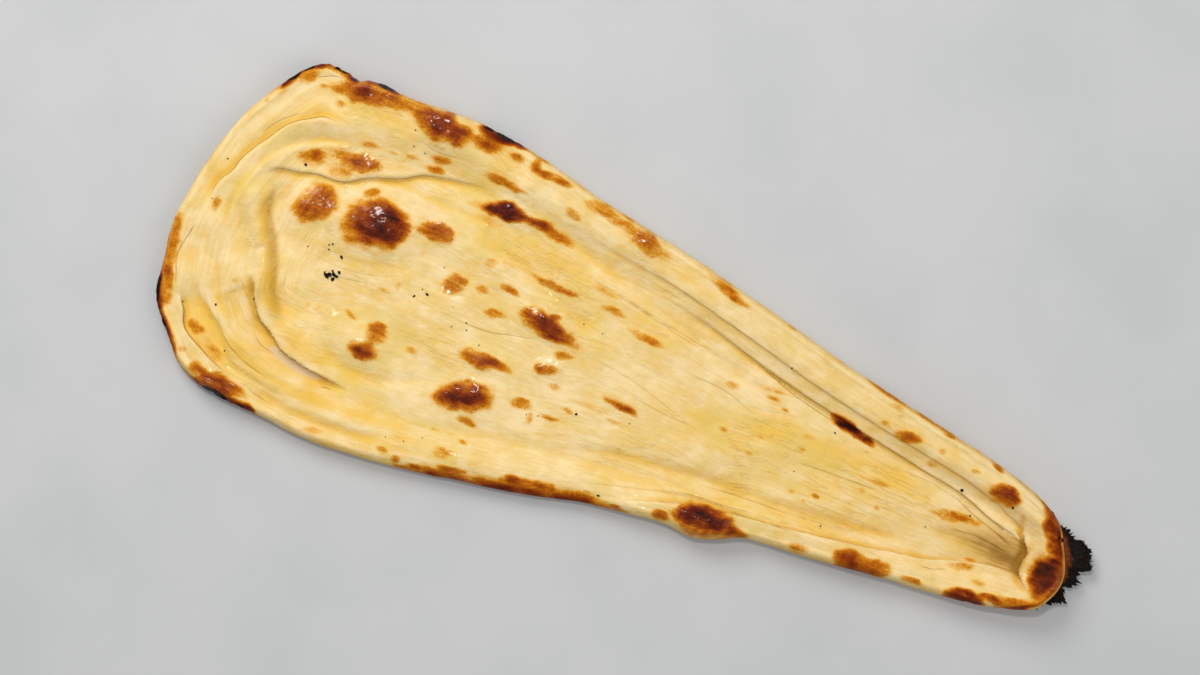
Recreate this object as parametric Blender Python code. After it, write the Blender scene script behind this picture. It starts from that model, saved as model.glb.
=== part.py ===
"""A long teardrop flatbread: folded rim, thin blistered middle, curled tip with a charred ragged edge.

Metres, +Z up. +X runs along the bread to its narrow tip, +Y across it. The flat underside is at z = 0.
Places on the bread are named in millimetres and turned into metres with MM.
"""

import bmesh
import bpy
import numpy as np

MM = 0.001

# Driving dimensions, millimetres. The middle of the outline's box, MID_X and MID_Y, goes to the origin.
MID_X = 1.84
MID_Y = 0.04
CELLS_LONG = 110
CELLS_WIDE = 39
TOP_INSET = 1.2
UNDER_INSET = 1.6
CURVE_INSET = 7.0
FLAT_INSET = 13.0
EDGE_ROUND = 4.5
EDGE_SHARE = 0.42
LEAST_THICK = 2.6
SEED = 7

# The outline in four runs, each a few places that a smooth curve goes through.
LEFT_END = [
    (-190, -79.6), (-203, -73), (-212, -63), (-221, -53), (-224.8, -45), (-226.5, -33), (-228.8, -19),
    (-229.7, -9), (-228.2, 2), (-226.6, 13), (-223.3, 28), (-218, 45), (-210.8, 59), (-202.5, 72),
    (-197, 79), (-189, 84),
]
UPPER_SIDE = [
    (-189, 84), (-178, 83.2), (-172.5, 81.7), (-168, 84), (-147, 83.3), (-113, 84.6), (-80, 80.4),
    (-41, 71.5), (-7.5, 65.8), (20, 60), (60, 51), (92, 43.3), (125, 36.7), (170, 27.8), (192, 21.8),
    (206, 15.8),
]
LOWER_SIDE = [
    (-190, -79.6), (-176, -81.5), (-153, -83), (-134, -84.6), (-98, -82.3), (-57, -75.7), (-28, -70.4),
    (0, -63.5), (20, -60.4), (38, -58.2), (53, -59.2), (65, -55.4), (75, -51), (105, -48), (150, -42.8),
    (186, -39), (206, -34),
]
TIP_END = [
    (206, -34), (214.5, -30.2), (219, -24), (221.6, -17), (221.6, -10), (219.8, -4.5), (216, 3),
    (212, 10.5), (206, 15.8),
]

# Heights along the bread: place along X, rim height and rim width on the upper (+Y) side, the same on the
# lower (-Y) side, thickness of the thin middle, and how far the underside curls up at the edge.
PROFILE = [
    (-230, 10.0, 34, 9.0, 30, 8.5, 2.2),
    (-190, 11.5, 34, 10.0, 27, 8.0, 2.6),
    (-150, 12.5, 32, 10.5, 25, 7.0, 2.2),
    (-100, 12.0, 27, 10.0, 21, 6.4, 1.6),
    (-50, 11.5, 23, 10.5, 20, 6.2, 1.6),
    (0, 11.5, 23, 10.0, 19, 6.0, 1.8),
    (55, 12.0, 23, 12.0, 16, 6.0, 2.2),
    (80, 12.5, 22, 10.5, 15, 6.0, 2.2),
    (130, 13.0, 21, 11.0, 13, 6.0, 2.6),
    (180, 14.5, 18, 12.5, 13, 6.4, 3.6),
    (205, 17.0, 15, 16.0, 14, 7.0, 4.8),
    (222, 17.5, 15, 17.0, 15, 7.5, 5.0),
]

# Overlapping folds. The layer on the left hand of the run lies over the other: how high it stands, how far
# that height fades, how deep the lower layer dips, how far the dip fades, and how sharp the step is.
FOLDS = [
    ("inner_crease", 1.4, 9, 1.2, 7, 1.4,
     [(-195.8, 23.4), (-195, 26.5), (-190.5, 29.5), (-182.8, 31), (-175, 33.2), (-165, 33.8),
      (-160.5, 35), (-154.3, 38.8), (-149, 41.8), (-142, 44.2), (-135, 47.2), (-129, 51), (-120, 53.5),
      (-105, 56), (-90, 57.5)]),
    ("pool_flank", 3.2, 9, 2.4, 10, 5.0,
     [(-163, -41), (-166.7, -34.7), (-170.7, -28), (-174, -21), (-177.8, -11.2), (-182, -2),
      (-185.8, 3.4), (-189.7, 10.3), (-190.5, 17.2), (-193.5, 25)]),
    ("lower_left_overlap", 2.4, 9, 2.4, 8, 1.4,
     [(-189.3, -21.3), (-182.7, -25.3), (-180, -30.7), (-175.3, -37.3), (-172, -40.7), (-166, -44),
      (-158.7, -49.3), (-152, -51.3), (-142, -53.3), (-132, -54.7), (-121, -56)]),
    ("outer_left_rim", 1.5, 6, 1.9, 5, 1.3,
     [(-174, -71), (-184, -67.7), (-189.3, -65.7), (-194.7, -63), (-202, -59.3), (-205.3, -56.7),
      (-207.2, -53.3), (-208.7, -49.3), (-210.8, -46), (-213, -41)]),
    ("outer_rim_fold", 1.4, 9, 2.3, 8, 2.0,
     [(-166, 57.5), (-175, 59.5), (-181.2, 59.2), (-185.8, 56.5), (-192, 52.6), (-197.4, 47.2),
      (-201.2, 41), (-206.6, 32.6), (-209.7, 26.5), (-211.6, 19.5), (-215, 14.2), (-216.6, 7.2),
      (-214.3, -2.8)]),
    ("second_layer", 1.0, 7, 1.5, 6, 3.0,
     [(-158, 53.5), (-174, 49), (-188, 42), (-198, 31), (-204, 18), (-206, 6), (-205, -6)]),
    ("left_layer", 0.9, 6, 1.6, 6, 4.0,
     [(-215, -2), (-211.3, -11.3), (-207.3, -18), (-202, -22.7), (-198.5, -29), (-195, -37),
      (-188, -44)]),
    ("left_fold", 1.2, 7, 1.6, 7, 3.6,
     [(-212, -28), (-204, -39), (-197.3, -45.3), (-189.3, -50.7), (-185.3, -56), (-179, -63),
      (-163, -67), (-140, -69)]),
    ("upper_rim_line", 0.6, 8, 0.5, 6, 1.2,
     [(-60, 56.7), (-28, 51.3), (0, 47.5), (40, 38.8), (80, 29.2), (120, 21.5), (140, 18.3),
      (152, 16.3), (163, 14.3), (171, 12), (181, 9.3), (187, 6.3), (194, 3.7), (199, -0.5)]),
    ("main_overlap", 1.2, 8, 1.4, 9, 1.3,
     [(-10, 42.5), (20, 37), (52, 28.8), (79, 22.9), (108, 17.5), (130, 13.7), (143, 11.3),
      (153.3, 9.7), (161.3, 8.3), (170, 5.7), (178, 2.7), (186.7, 0), (194, -2), (201, -6)]),
    ("lower_rim_line", 1.6, 8, 1.3, 7, 1.3,
     [(206, -19), (200.7, -18.3), (194, -18.3), (186.7, -19.3), (176.7, -21.7), (167.3, -24.7),
      (160, -27.3), (153.3, -28.7), (143.3, -30.3), (134, -32.3), (90, -39), (50, -44.2), (20, -53.3),
      (0, -61)]),
    ("tip_lip", 2.6, 7, 3.2, 9, 1.6,
     [(193, 8), (198, -1), (202.2, -7), (201.2, -12), (202, -17), (204.5, -20), (209, -26)]),
]

# Plain grooves: depth, half-width and run.
GROOVES = [
    ("pool_ridge", -2.2, 4.5, [(-198, 20), (-198, 9), (-192, 0), (-186, -9), (-181, -19), (-178, -32)]),
    ("lower_left_ridge", -1.8, 3.8,
     [(-205, -30), (-194, -43), (-182, -52), (-166, -58), (-146, -61.5), (-122, -63)]),
    ("lower_left_groove", 1.6, 3.0, [(-172, -70), (-156, -74), (-136, -75), (-112, -73.5), (-90, -68)]),
    ("lower_crease", 1.6, 3.0,
     [(155, -21.5), (125, -26.3), (83, -30), (47, -32), (5, -36.7), (-30, -45)]),
    ("tip_groove", 1.2, 2.4, [(150, -13.5), (182, -12), (202, -14.4)]),
    ("middle_crease", 1.1, 3.6, [(-146, -36), (-131, -46), (-109, -45), (-84, -34)]),
    ("blister_foot", 1.2, 5.0, [(-162, -1), (-152, 0), (-135, 3.5), (-112, 10)]),
    ("middle_groove", 1.1, 3.8, [(-100, 35), (-70, 30), (-40, 17), (-24, 14)]),
    ("inner_branch", 0.8, 2.0,
     [(-151, 40.5), (-141, 42.8), (-132, 43.8), (-120, 42.6), (-104, 42), (-88, 40)]),
    ("long_furrow", 0.9, 3.4, [(-92, 60), (-60, 52), (-25, 41), (10, 31), (50, 19), (90, 8)]),
    ("lower_furrow", 0.9, 3.4, [(-95, -60), (-60, -52), (-20, -46), (30, -43)]),
]

# Blisters that the oven raised: place, half-length, half-width, turn in degrees and height.
BLISTERS = [
    (-140, 21, 21, 16, 20, 4.6), (-170, 20, 14, 11, 50, 2.6), (-157, 45, 14, 6, 12, 1.4),
    (-166, 76, 17, 6, 6, 1.6), (-127, 75, 16, 9, -8, 2.4), (-182, -74, 15, 6, -5, 1.4),
    (-123, -33, 10, 8, 10, 1.6), (-81, 50, 16, 5, 5, 1.6), (-47, 7.5, 17, 6.5, -3, 1.8),
    (-70, -19, 13, 5, -3, 1.2), (-71, -38, 16, 8, 20, 1.8), (-41, -11, 8, 4, 22, 0.9),
    (-19, 61, 15, 5, -14, 1.0), (54, -48, 15, 8, 8, 2.2), (129, -40, 13, 6, 8, 1.2),
    (181, 15, 9, 5, -12, 1.2), (181, -36, 10, 5, 5, 1.2), (212, -12, 11, 7, 90, 1.6),
    (-92, 26, 16, 8, 10, 0.9), (-110, 30, 12, 7, 5, 1.0), (-215, -38, 8, 5, -70, 0.8),
    (-171, -46, 9, 4, -35, -1.2),
]

# The charred fringe beyond the tip: angle in degrees seen from FRINGE_HUB, and how far it reaches.
FRINGE_HUB = (200, -10)
FRINGE_ROOT = 14.0
FRINGE_TOP = 7.0
FRINGE_THICK = 3.2
FRINGE_EDGE = 1.2
FRINGE = [
    (-58, 22.0), (-54, 25.6), (-40, 24.7), (-30, 27.7), (-22.6, 30.7), (-19.8, 28.4), (-12.7, 24.6),
    (-5, 29.1), (-0.8, 30.4), (3.5, 28.0), (9.2, 28.7), (12.2, 34.1), (20.5, 33.4), (26, 33.4),
    (34, 32.1), (38, 30.6), (40, 28.1), (52, 26.4), (60, 24.9),
]


def smooth_run(places, per_span=12):
    """A smooth curve through the places, as closely spaced points."""
    p = np.array(places, float)
    ends = np.vstack([2 * p[0] - p[1], p, 2 * p[-1] - p[-2]])
    rows = []
    for i in range(1, len(ends) - 2):
        a, b, c, d = ends[i - 1], ends[i], ends[i + 1], ends[i + 2]
        k0 = 0.0
        k1 = k0 + max(np.linalg.norm(b - a), 1e-6) ** 0.5
        k2 = k1 + max(np.linalg.norm(c - b), 1e-6) ** 0.5
        k3 = k2 + max(np.linalg.norm(d - c), 1e-6) ** 0.5
        for t in np.linspace(k1, k2, per_span, endpoint=False):
            e1 = (k1 - t) / (k1 - k0) * a + (t - k0) / (k1 - k0) * b
            e2 = (k2 - t) / (k2 - k1) * b + (t - k1) / (k2 - k1) * c
            e3 = (k3 - t) / (k3 - k2) * c + (t - k2) / (k3 - k2) * d
            f1 = (k2 - t) / (k2 - k0) * e1 + (t - k0) / (k2 - k0) * e2
            f2 = (k3 - t) / (k3 - k1) * e2 + (t - k1) / (k3 - k1) * e3
            rows.append((k2 - t) / (k2 - k1) * f1 + (t - k1) / (k2 - k1) * f2)
    rows.append(p[-1])
    return np.array(rows)


def even_run(places, count):
    """The smooth curve through the places cut into evenly long steps."""
    run = smooth_run(places)
    steps = np.linalg.norm(np.diff(run, axis=0), axis=1)
    along = np.concatenate([[0], np.cumsum(steps)]) / steps.sum()
    at = np.linspace(0, 1, count + 1)
    return np.column_stack([np.interp(at, along, run[:, 0]), np.interp(at, along, run[:, 1])])


def outward(loop):
    """Outward normals of a closed anticlockwise loop."""
    along = np.roll(loop, -1, axis=0) - np.roll(loop, 1, axis=0)
    along /= np.linalg.norm(along, axis=1)[:, None]
    return np.column_stack([along[:, 1], -along[:, 0]])


def inset(loop, distance):
    """The loop drawn inwards in small steps, eased after each so that tight bends never cross."""
    steps = max(1, int(np.ceil(distance / 1.5)))
    for _ in range(steps):
        loop = loop - outward(loop) * distance / steps
        if steps > 1:
            loop = 0.5 * loop + 0.25 * (np.roll(loop, 1, axis=0) + np.roll(loop, -1, axis=0))
    return loop


def to_outline(points, loop):
    """Shortest distance of each point to the outline."""
    a = loop
    b = np.roll(loop, -1, axis=0)
    span = b - a
    size = (span ** 2).sum(axis=1)
    best = np.full(len(points), 1e9)
    for start, step, length in zip(a, span, size):
        share = np.clip(((points - start) @ step) / length, 0, 1)
        gap = points - (start + share[:, None] * step)
        best = np.minimum(best, (gap ** 2).sum(axis=1))
    return np.sqrt(best)


def to_run(points, places):
    """Signed distance to a run (left hand positive), share along it, and the nearest place on it."""
    run = smooth_run(places, 8)
    best = np.full(len(points), 1e9)
    side = np.zeros(len(points))
    share_along = np.zeros(len(points))
    nearest = np.zeros((len(points), 2))
    for i in range(len(run) - 1):
        step = run[i + 1] - run[i]
        share = np.clip(((points - run[i]) @ step) / (step @ step), 0, 1)
        foot = run[i] + share[:, None] * step
        gap = points - foot
        size = (gap ** 2).sum(axis=1)
        near = size < best
        best[near] = size[near]
        side[near] = np.sign(step[0] * gap[near, 1] - step[1] * gap[near, 0])
        share_along[near] = (i + share[near]) / (len(run) - 1)
        nearest[near] = foot[near]
    return np.sqrt(best) * np.where(side == 0, 1, side), share_along, nearest


def ease(value, low, high):
    t = np.clip((value - low) / (high - low), 0, 1)
    return t * t * (3 - 2 * t)


def profile(x, y, column):
    """A height of PROFILE at x, eased between its upper and lower side where it has both."""
    table = np.array(PROFILE, float)
    if column in ("rim", "rim_width"):
        first = 1 if column == "rim" else 2
        up = np.interp(x, table[:, 0], table[:, first])
        low = np.interp(x, table[:, 0], table[:, first + 2])
        return low + (up - low) * ease(y, -22, 22)
    return np.interp(x, table[:, 0], table[:, 5 if column == "middle" else 6])


def waves(x, y):
    """The slow unevenness of hand-stretched dough, from a few seeded waves."""
    draw = np.random.default_rng(SEED)
    total = np.zeros_like(x)
    for _ in range(9):
        long_way = draw.uniform(55, 130)
        across = draw.uniform(22, 55)
        phase = draw.uniform(0, 2 * np.pi, 2)
        total += np.sin(2 * np.pi * x / long_way + phase[0]) * np.sin(2 * np.pi * y / across + phase[1])
    return 0.22 * total


def top_height(points, loop):
    """Height of the upper surface in millimetres."""
    x = points[:, 0]
    y = points[:, 1]
    inward = to_outline(points, loop)
    rim = profile(x, y, "rim")
    width = profile(x, y, "rim_width")
    middle = profile(x, y, "middle")
    height = rim + (middle - rim) * ease(inward, 0.5 * width, 1.15 * width)
    height += waves(x, y) * ease(inward, 2, 14)
    for name, rise, rise_fade, dip, dip_fade, sharp, places in FOLDS:
        s, along, _ = to_run(points, places)
        taper = ease(along, 0, 0.16) * (1 - ease(along, 0.86, 1))
        over = 1 / (1 + np.exp(-np.clip(s / (0.5 * sharp), -40, 40)))
        lift = over * rise * np.exp(-np.maximum(s, 0) / rise_fade)
        drop = (1 - over) * dip * np.exp(-np.maximum(-s, 0) / dip_fade)
        height += taper * (lift - drop)
    for name, depth, half_width, places in GROOVES:
        s, along, _ = to_run(points, places)
        taper = ease(along, 0, 0.2) * (1 - ease(along, 0.8, 1))
        height -= taper * depth * np.exp(-((s / half_width) ** 2))
    for bx, by, long_half, wide_half, turn, rise in BLISTERS:
        c = np.cos(np.radians(turn))
        n = np.sin(np.radians(turn))
        across = ((x - bx) * c + (y - by) * n) / long_half
        over = ((y - by) * c - (x - bx) * n) / wide_half
        height += rise * np.exp(-((across ** 2 + over ** 2) ** 1.3))
    roundness = EDGE_ROUND + 3.5 * ease(x, -110, -70) * (1 - ease(x, 0, 30)) * (y < 0)
    fall = (1 - np.clip(inward / roundness, 0, 1)) ** 2
    height *= 1 - (1 - EDGE_SHARE) * fall
    return height


def edge_lift(points):
    return profile(points[:, 0], points[:, 1], "lift")


def grid_from_sides(lower, upper, left, tip):
    """Points of a sheet spanned between four boundary curves, rows running along the bread."""
    nu = len(lower) - 1
    nv = len(left) - 1
    u = np.linspace(0, 1, nu + 1)[:, None, None]
    v = np.linspace(0, 1, nv + 1)[None, :, None]
    sheet = (1 - v) * lower[:, None] + v * upper[:, None] + (1 - u) * left[None] + u * tip[None]
    low_ends = (1 - v) * ((1 - u) * lower[0] + u * lower[-1])
    high_ends = v * ((1 - u) * upper[0] + u * upper[-1])
    return sheet - low_ends - high_ends


def ring_indices(nu, nv):
    """Grid indices of the boundary, anticlockwise from the lower left corner."""
    ring = [(i, 0) for i in range(nu)]
    ring += [(nu, j) for j in range(nv)]
    ring += [(i, nv) for i in range(nu, 0, -1)]
    ring += [(0, j) for j in range(nv, 0, -1)]
    return ring


def draw_to_folds(sheet):
    """Moves the nearest inner points sideways onto each fold, so its edge is crisp."""
    flat = sheet[1:-1, 1:-1].reshape(-1, 2)
    taken = np.zeros(len(flat), bool)
    for run in [f[-1] for f in FOLDS] + [g[-1] for g in GROOVES[:3]]:
        s, _, nearest = to_run(flat, run)
        reach = 0.46 * np.interp(flat[:, 0], [-230, 0, 200], [4.6, 3.6, 1.7])
        near = (np.abs(s) < reach) & ~taken
        flat[near] = nearest[near] * 0.9 + flat[near] * 0.1
        taken |= near
    sheet[1:-1, 1:-1] = flat.reshape(sheet[1:-1, 1:-1].shape)
    return sheet


def bread_body():
    lower = even_run(LOWER_SIDE, CELLS_LONG)
    upper = even_run(UPPER_SIDE, CELLS_LONG)
    left = even_run(LEFT_END, CELLS_WIDE)
    tip = even_run(TIP_END, CELLS_WIDE)
    loop = np.vstack([lower[:-1], tip[:-1], upper[:0:-1], left[:0:-1]])
    top_loop = inset(loop, TOP_INSET)
    n = CELLS_LONG
    m = CELLS_WIDE
    a = top_loop[:n + 1]
    b = top_loop[n:n + m + 1]
    c = top_loop[n + m:2 * n + m + 1][::-1]
    d = np.vstack([top_loop[2 * n + m:], top_loop[:1]])[::-1]
    sheet = grid_from_sides(a, c, d, b)
    sheet = draw_to_folds(sheet)
    bm = bmesh.new()
    heights = top_height(sheet.reshape(-1, 2), loop).reshape(n + 1, m + 1)
    heights = np.maximum(heights, LEAST_THICK)
    lift = edge_lift(loop)
    places = np.dstack([sheet, heights]) * MM
    top = [[bm.verts.new(place) for place in row] for row in places]
    ring = ring_indices(n, m)
    for i, j in ring:
        top[i][j].co.z += 0.6 * float(edge_lift(sheet[i, j][None])[0]) * MM
    for i in range(n):
        for j in range(m):
            bm.faces.new((top[i][j], top[i + 1][j], top[i + 1][j + 1], top[i][j + 1]))
    rows = [[top[i][j] for i, j in ring]]
    rim_z = np.array([v.co.z for v in rows[0]]) / MM
    levels = [
        (loop, lift + 0.45 * (rim_z - lift)),
        (inset(loop, UNDER_INSET), lift + 0.08 * (rim_z - lift)),
        (inset(loop, CURVE_INSET), 0.3 * lift),
        (inset(loop, FLAT_INSET), 0 * lift),
    ]
    for places, z in levels:
        rows.append([bm.verts.new((p[0] * MM, p[1] * MM, h * MM)) for p, h in zip(places, z)])
    count = len(ring)
    for outer, under in zip(rows[:-1], rows[1:]):
        for k in range(count):
            q = (k + 1) % count
            bm.faces.new((outer[k], under[k], under[q], outer[q]))
    bm.faces.new(rows[-1][::-1])
    bmesh.ops.recalc_face_normals(bm, faces=bm.faces)
    bmesh.ops.triangulate(bm, faces=bm.faces, quad_method="BEAUTY", ngon_method="BEAUTY")
    bmesh.ops.translate(bm, verts=bm.verts, vec=(-MID_X * MM, -MID_Y * MM, 0))
    return bm


def fringe_body():
    """A thin ragged fan, thick where it leaves the bread and thin at its broken edge."""
    hub = np.array(FRINGE_HUB, float)
    angles = np.radians([f[0] for f in FRINGE])
    reach = np.array([f[1] for f in FRINGE])
    directions = np.column_stack([np.cos(angles), np.sin(angles)])
    inner = hub + directions * FRINGE_ROOT
    outer = hub + directions * reach[:, None]
    bm = bmesh.new()
    rows = []
    shapes = ((inner, FRINGE_TOP + 1.5, FRINGE_THICK + 1), (outer, FRINGE_TOP - 1.5, FRINGE_EDGE))
    for places, top, thick in shapes:
        rows.append([bm.verts.new((p[0] * MM, p[1] * MM, top * MM)) for p in places])
        rows.append([bm.verts.new((p[0] * MM, p[1] * MM, (top - thick) * MM)) for p in places])
    inner_top, inner_low, outer_top, outer_low = rows
    for k in range(len(places) - 1):
        bm.faces.new((inner_top[k], outer_top[k], outer_top[k + 1], inner_top[k + 1]))
        bm.faces.new((inner_low[k + 1], outer_low[k + 1], outer_low[k], inner_low[k]))
        bm.faces.new((outer_top[k], outer_low[k], outer_low[k + 1], outer_top[k + 1]))
        bm.faces.new((inner_top[k + 1], inner_low[k + 1], inner_low[k], inner_top[k]))
    for k in (0, -1):
        bm.faces.new((inner_top[k], inner_low[k], outer_low[k], outer_top[k]))
    bmesh.ops.recalc_face_normals(bm, faces=bm.faces)
    bmesh.ops.triangulate(bm, faces=bm.faces)
    bmesh.ops.translate(bm, verts=bm.verts, vec=(-MID_X * MM, -MID_Y * MM, 0))
    return bm


def add_object(name, bm):
    mesh = bpy.data.meshes.new(name)
    bm.to_mesh(mesh)
    bm.free()
    ob = bpy.data.objects.new(name, mesh)
    bpy.context.collection.objects.link(ob)
    return ob


def dough_material():
    mat = bpy.data.materials.new("baked_dough")
    mat.use_nodes = True
    shader = mat.node_tree.nodes["Principled BSDF"]
    shader.inputs["Base Color"].default_value = (0.80, 0.55, 0.24, 1.0)
    shader.inputs["Roughness"].default_value = 0.45
    shader.inputs["Metallic"].default_value = 0.0
    return mat


def main():
    for ob in list(bpy.data.objects):
        bpy.data.objects.remove(ob, do_unlink=True)
    naan = add_object("naan", bread_body())
    fringe = add_object("fringe", fringe_body())
    parts = bpy.data.collections.new("fused")
    bpy.context.scene.collection.children.link(parts)
    bpy.context.collection.objects.unlink(fringe)
    parts.objects.link(fringe)
    join = naan.modifiers.new("join", "BOOLEAN")
    join.operation = "UNION"
    join.operand_type = "COLLECTION"
    join.collection = parts
    join.solver = "EXACT"
    bpy.context.view_layer.objects.active = naan
    naan.select_set(True)
    bpy.ops.object.modifier_apply(modifier="join")
    bpy.data.objects.remove(fringe, do_unlink=True)
    bpy.data.collections.remove(parts)
    bm = bmesh.new()
    bm.from_mesh(naan.data)
    bmesh.ops.remove_doubles(bm, verts=bm.verts, dist=1e-6)
    bmesh.ops.triangulate(bm, faces=bm.faces)
    for face in bm.faces:
        face.smooth = True
    bm.to_mesh(naan.data)
    bm.free()
    naan.data.materials.clear()
    naan.data.materials.append(dough_material())


main()
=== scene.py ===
"""Looks of a long butter naan: layered dough, brown oven blisters, a curled tip and its charred fringe.

The bread lies face up with its narrow tip along +X. Places on it are named in millimetres.
"""

import functools

import bmesh
import bpy
import numpy as np
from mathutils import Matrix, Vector


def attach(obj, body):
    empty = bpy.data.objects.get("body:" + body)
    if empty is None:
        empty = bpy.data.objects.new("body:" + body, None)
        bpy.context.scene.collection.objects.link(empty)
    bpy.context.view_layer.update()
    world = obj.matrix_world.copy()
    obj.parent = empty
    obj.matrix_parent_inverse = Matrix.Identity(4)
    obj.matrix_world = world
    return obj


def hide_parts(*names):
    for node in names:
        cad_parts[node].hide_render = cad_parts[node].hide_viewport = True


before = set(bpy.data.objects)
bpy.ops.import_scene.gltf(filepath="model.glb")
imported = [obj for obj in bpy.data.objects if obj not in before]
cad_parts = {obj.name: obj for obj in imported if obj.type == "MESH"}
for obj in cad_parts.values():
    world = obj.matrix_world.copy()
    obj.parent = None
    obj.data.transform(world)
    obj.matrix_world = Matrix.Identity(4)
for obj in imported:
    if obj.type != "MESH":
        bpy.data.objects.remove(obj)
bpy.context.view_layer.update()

# A millimetre in metres, and the middle of the outline's box, where the frame has its origin.
MM = 0.001
MID_X = 1.84
MID_Y = 0.04

# The dough's sheet: its cells, how far in it ends, how its edge rounds off, and its highest and thinnest.
CELLS_LONG = 440
CELLS_WIDE = 170
TOP_INSET = 1.2
EDGE_ROUND = 4.5
EDGE_SHARE = 0.42
TIP_TOP = 18.0
LEAST_THICK = 2.6

# How far a fold or crease is felt, below what sharpness a fold is crisp, and the seeded unevenness.
RUN_REACH = 42
CRISP = 2.5
SEED = 7
MOTTLE_CELLS = 256
MOTTLE_START = 60
HOLLOW_ROUNDS = 18

# The view from above: how far it is turned, and how many metres it takes in.
VIEW_TURN = 22
VIEW_WIDTH = 0.564
LENS = 85
SENSOR = 36

# The outline in four runs, each a few places that a smooth curve goes through.
LEFT_END = [
    (-190, -79.6), (-203, -73), (-212, -63), (-221, -53), (-224.8, -45), (-226.5, -33), (-228.8, -19),
    (-229.7, -9), (-228.2, 2), (-226.6, 13), (-223.3, 28), (-218, 45), (-210.8, 59), (-202.5, 72),
    (-197, 79), (-189, 84),
]
UPPER_SIDE = [
    (-189, 84), (-178, 83.2), (-172.5, 81.7), (-168, 84), (-147, 83.3), (-113, 84.6), (-80, 80.4),
    (-41, 71.5), (-7.5, 65.8), (20, 60), (60, 51), (92, 43.3), (125, 36.7), (170, 27.8), (192, 21.8),
    (206, 15.8),
]
LOWER_SIDE = [
    (-190, -79.6), (-176, -81.5), (-153, -83), (-134, -84.6), (-98, -82.3), (-57, -75.7), (-28, -70.4),
    (0, -63.5), (20, -60.4), (38, -58.2), (53, -59.2), (65, -55.4), (75, -51), (105, -48),
    (150, -42.8), (186, -39), (206, -34),
]
TIP_END = [
    (206, -34), (214.5, -30.2), (219, -24), (221.6, -17), (221.6, -10), (219.8, -4.5), (216, 3),
    (212, 10.5), (206, 15.8),
]

# Heights along the bread: place along X, rim height and rim width on the upper (+Y) side, the same on the
# lower (-Y) side, thickness of the thin middle, and how far the underside curls up at the edge.
PROFILE = [
    (-230, 10.0, 34, 9.0, 30, 8.5, 2.2),
    (-190, 11.5, 34, 10.0, 27, 8.0, 2.6),
    (-150, 12.5, 32, 10.5, 25, 7.0, 2.2),
    (-100, 12.0, 27, 10.0, 21, 6.4, 1.6),
    (-50, 11.5, 23, 10.5, 20, 6.2, 1.6),
    (0, 11.5, 23, 10.0, 19, 6.0, 1.8),
    (55, 12.0, 23, 12.0, 16, 6.0, 2.2),
    (80, 12.5, 22, 10.5, 15, 6.0, 2.2),
    (130, 13.0, 21, 11.0, 13, 6.0, 2.6),
    (180, 14.5, 18, 12.5, 13, 6.4, 3.6),
    (205, 17.0, 15, 16.0, 14, 7.0, 4.8),
    (222, 17.5, 15, 17.0, 15, 7.5, 5.0),
]

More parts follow.
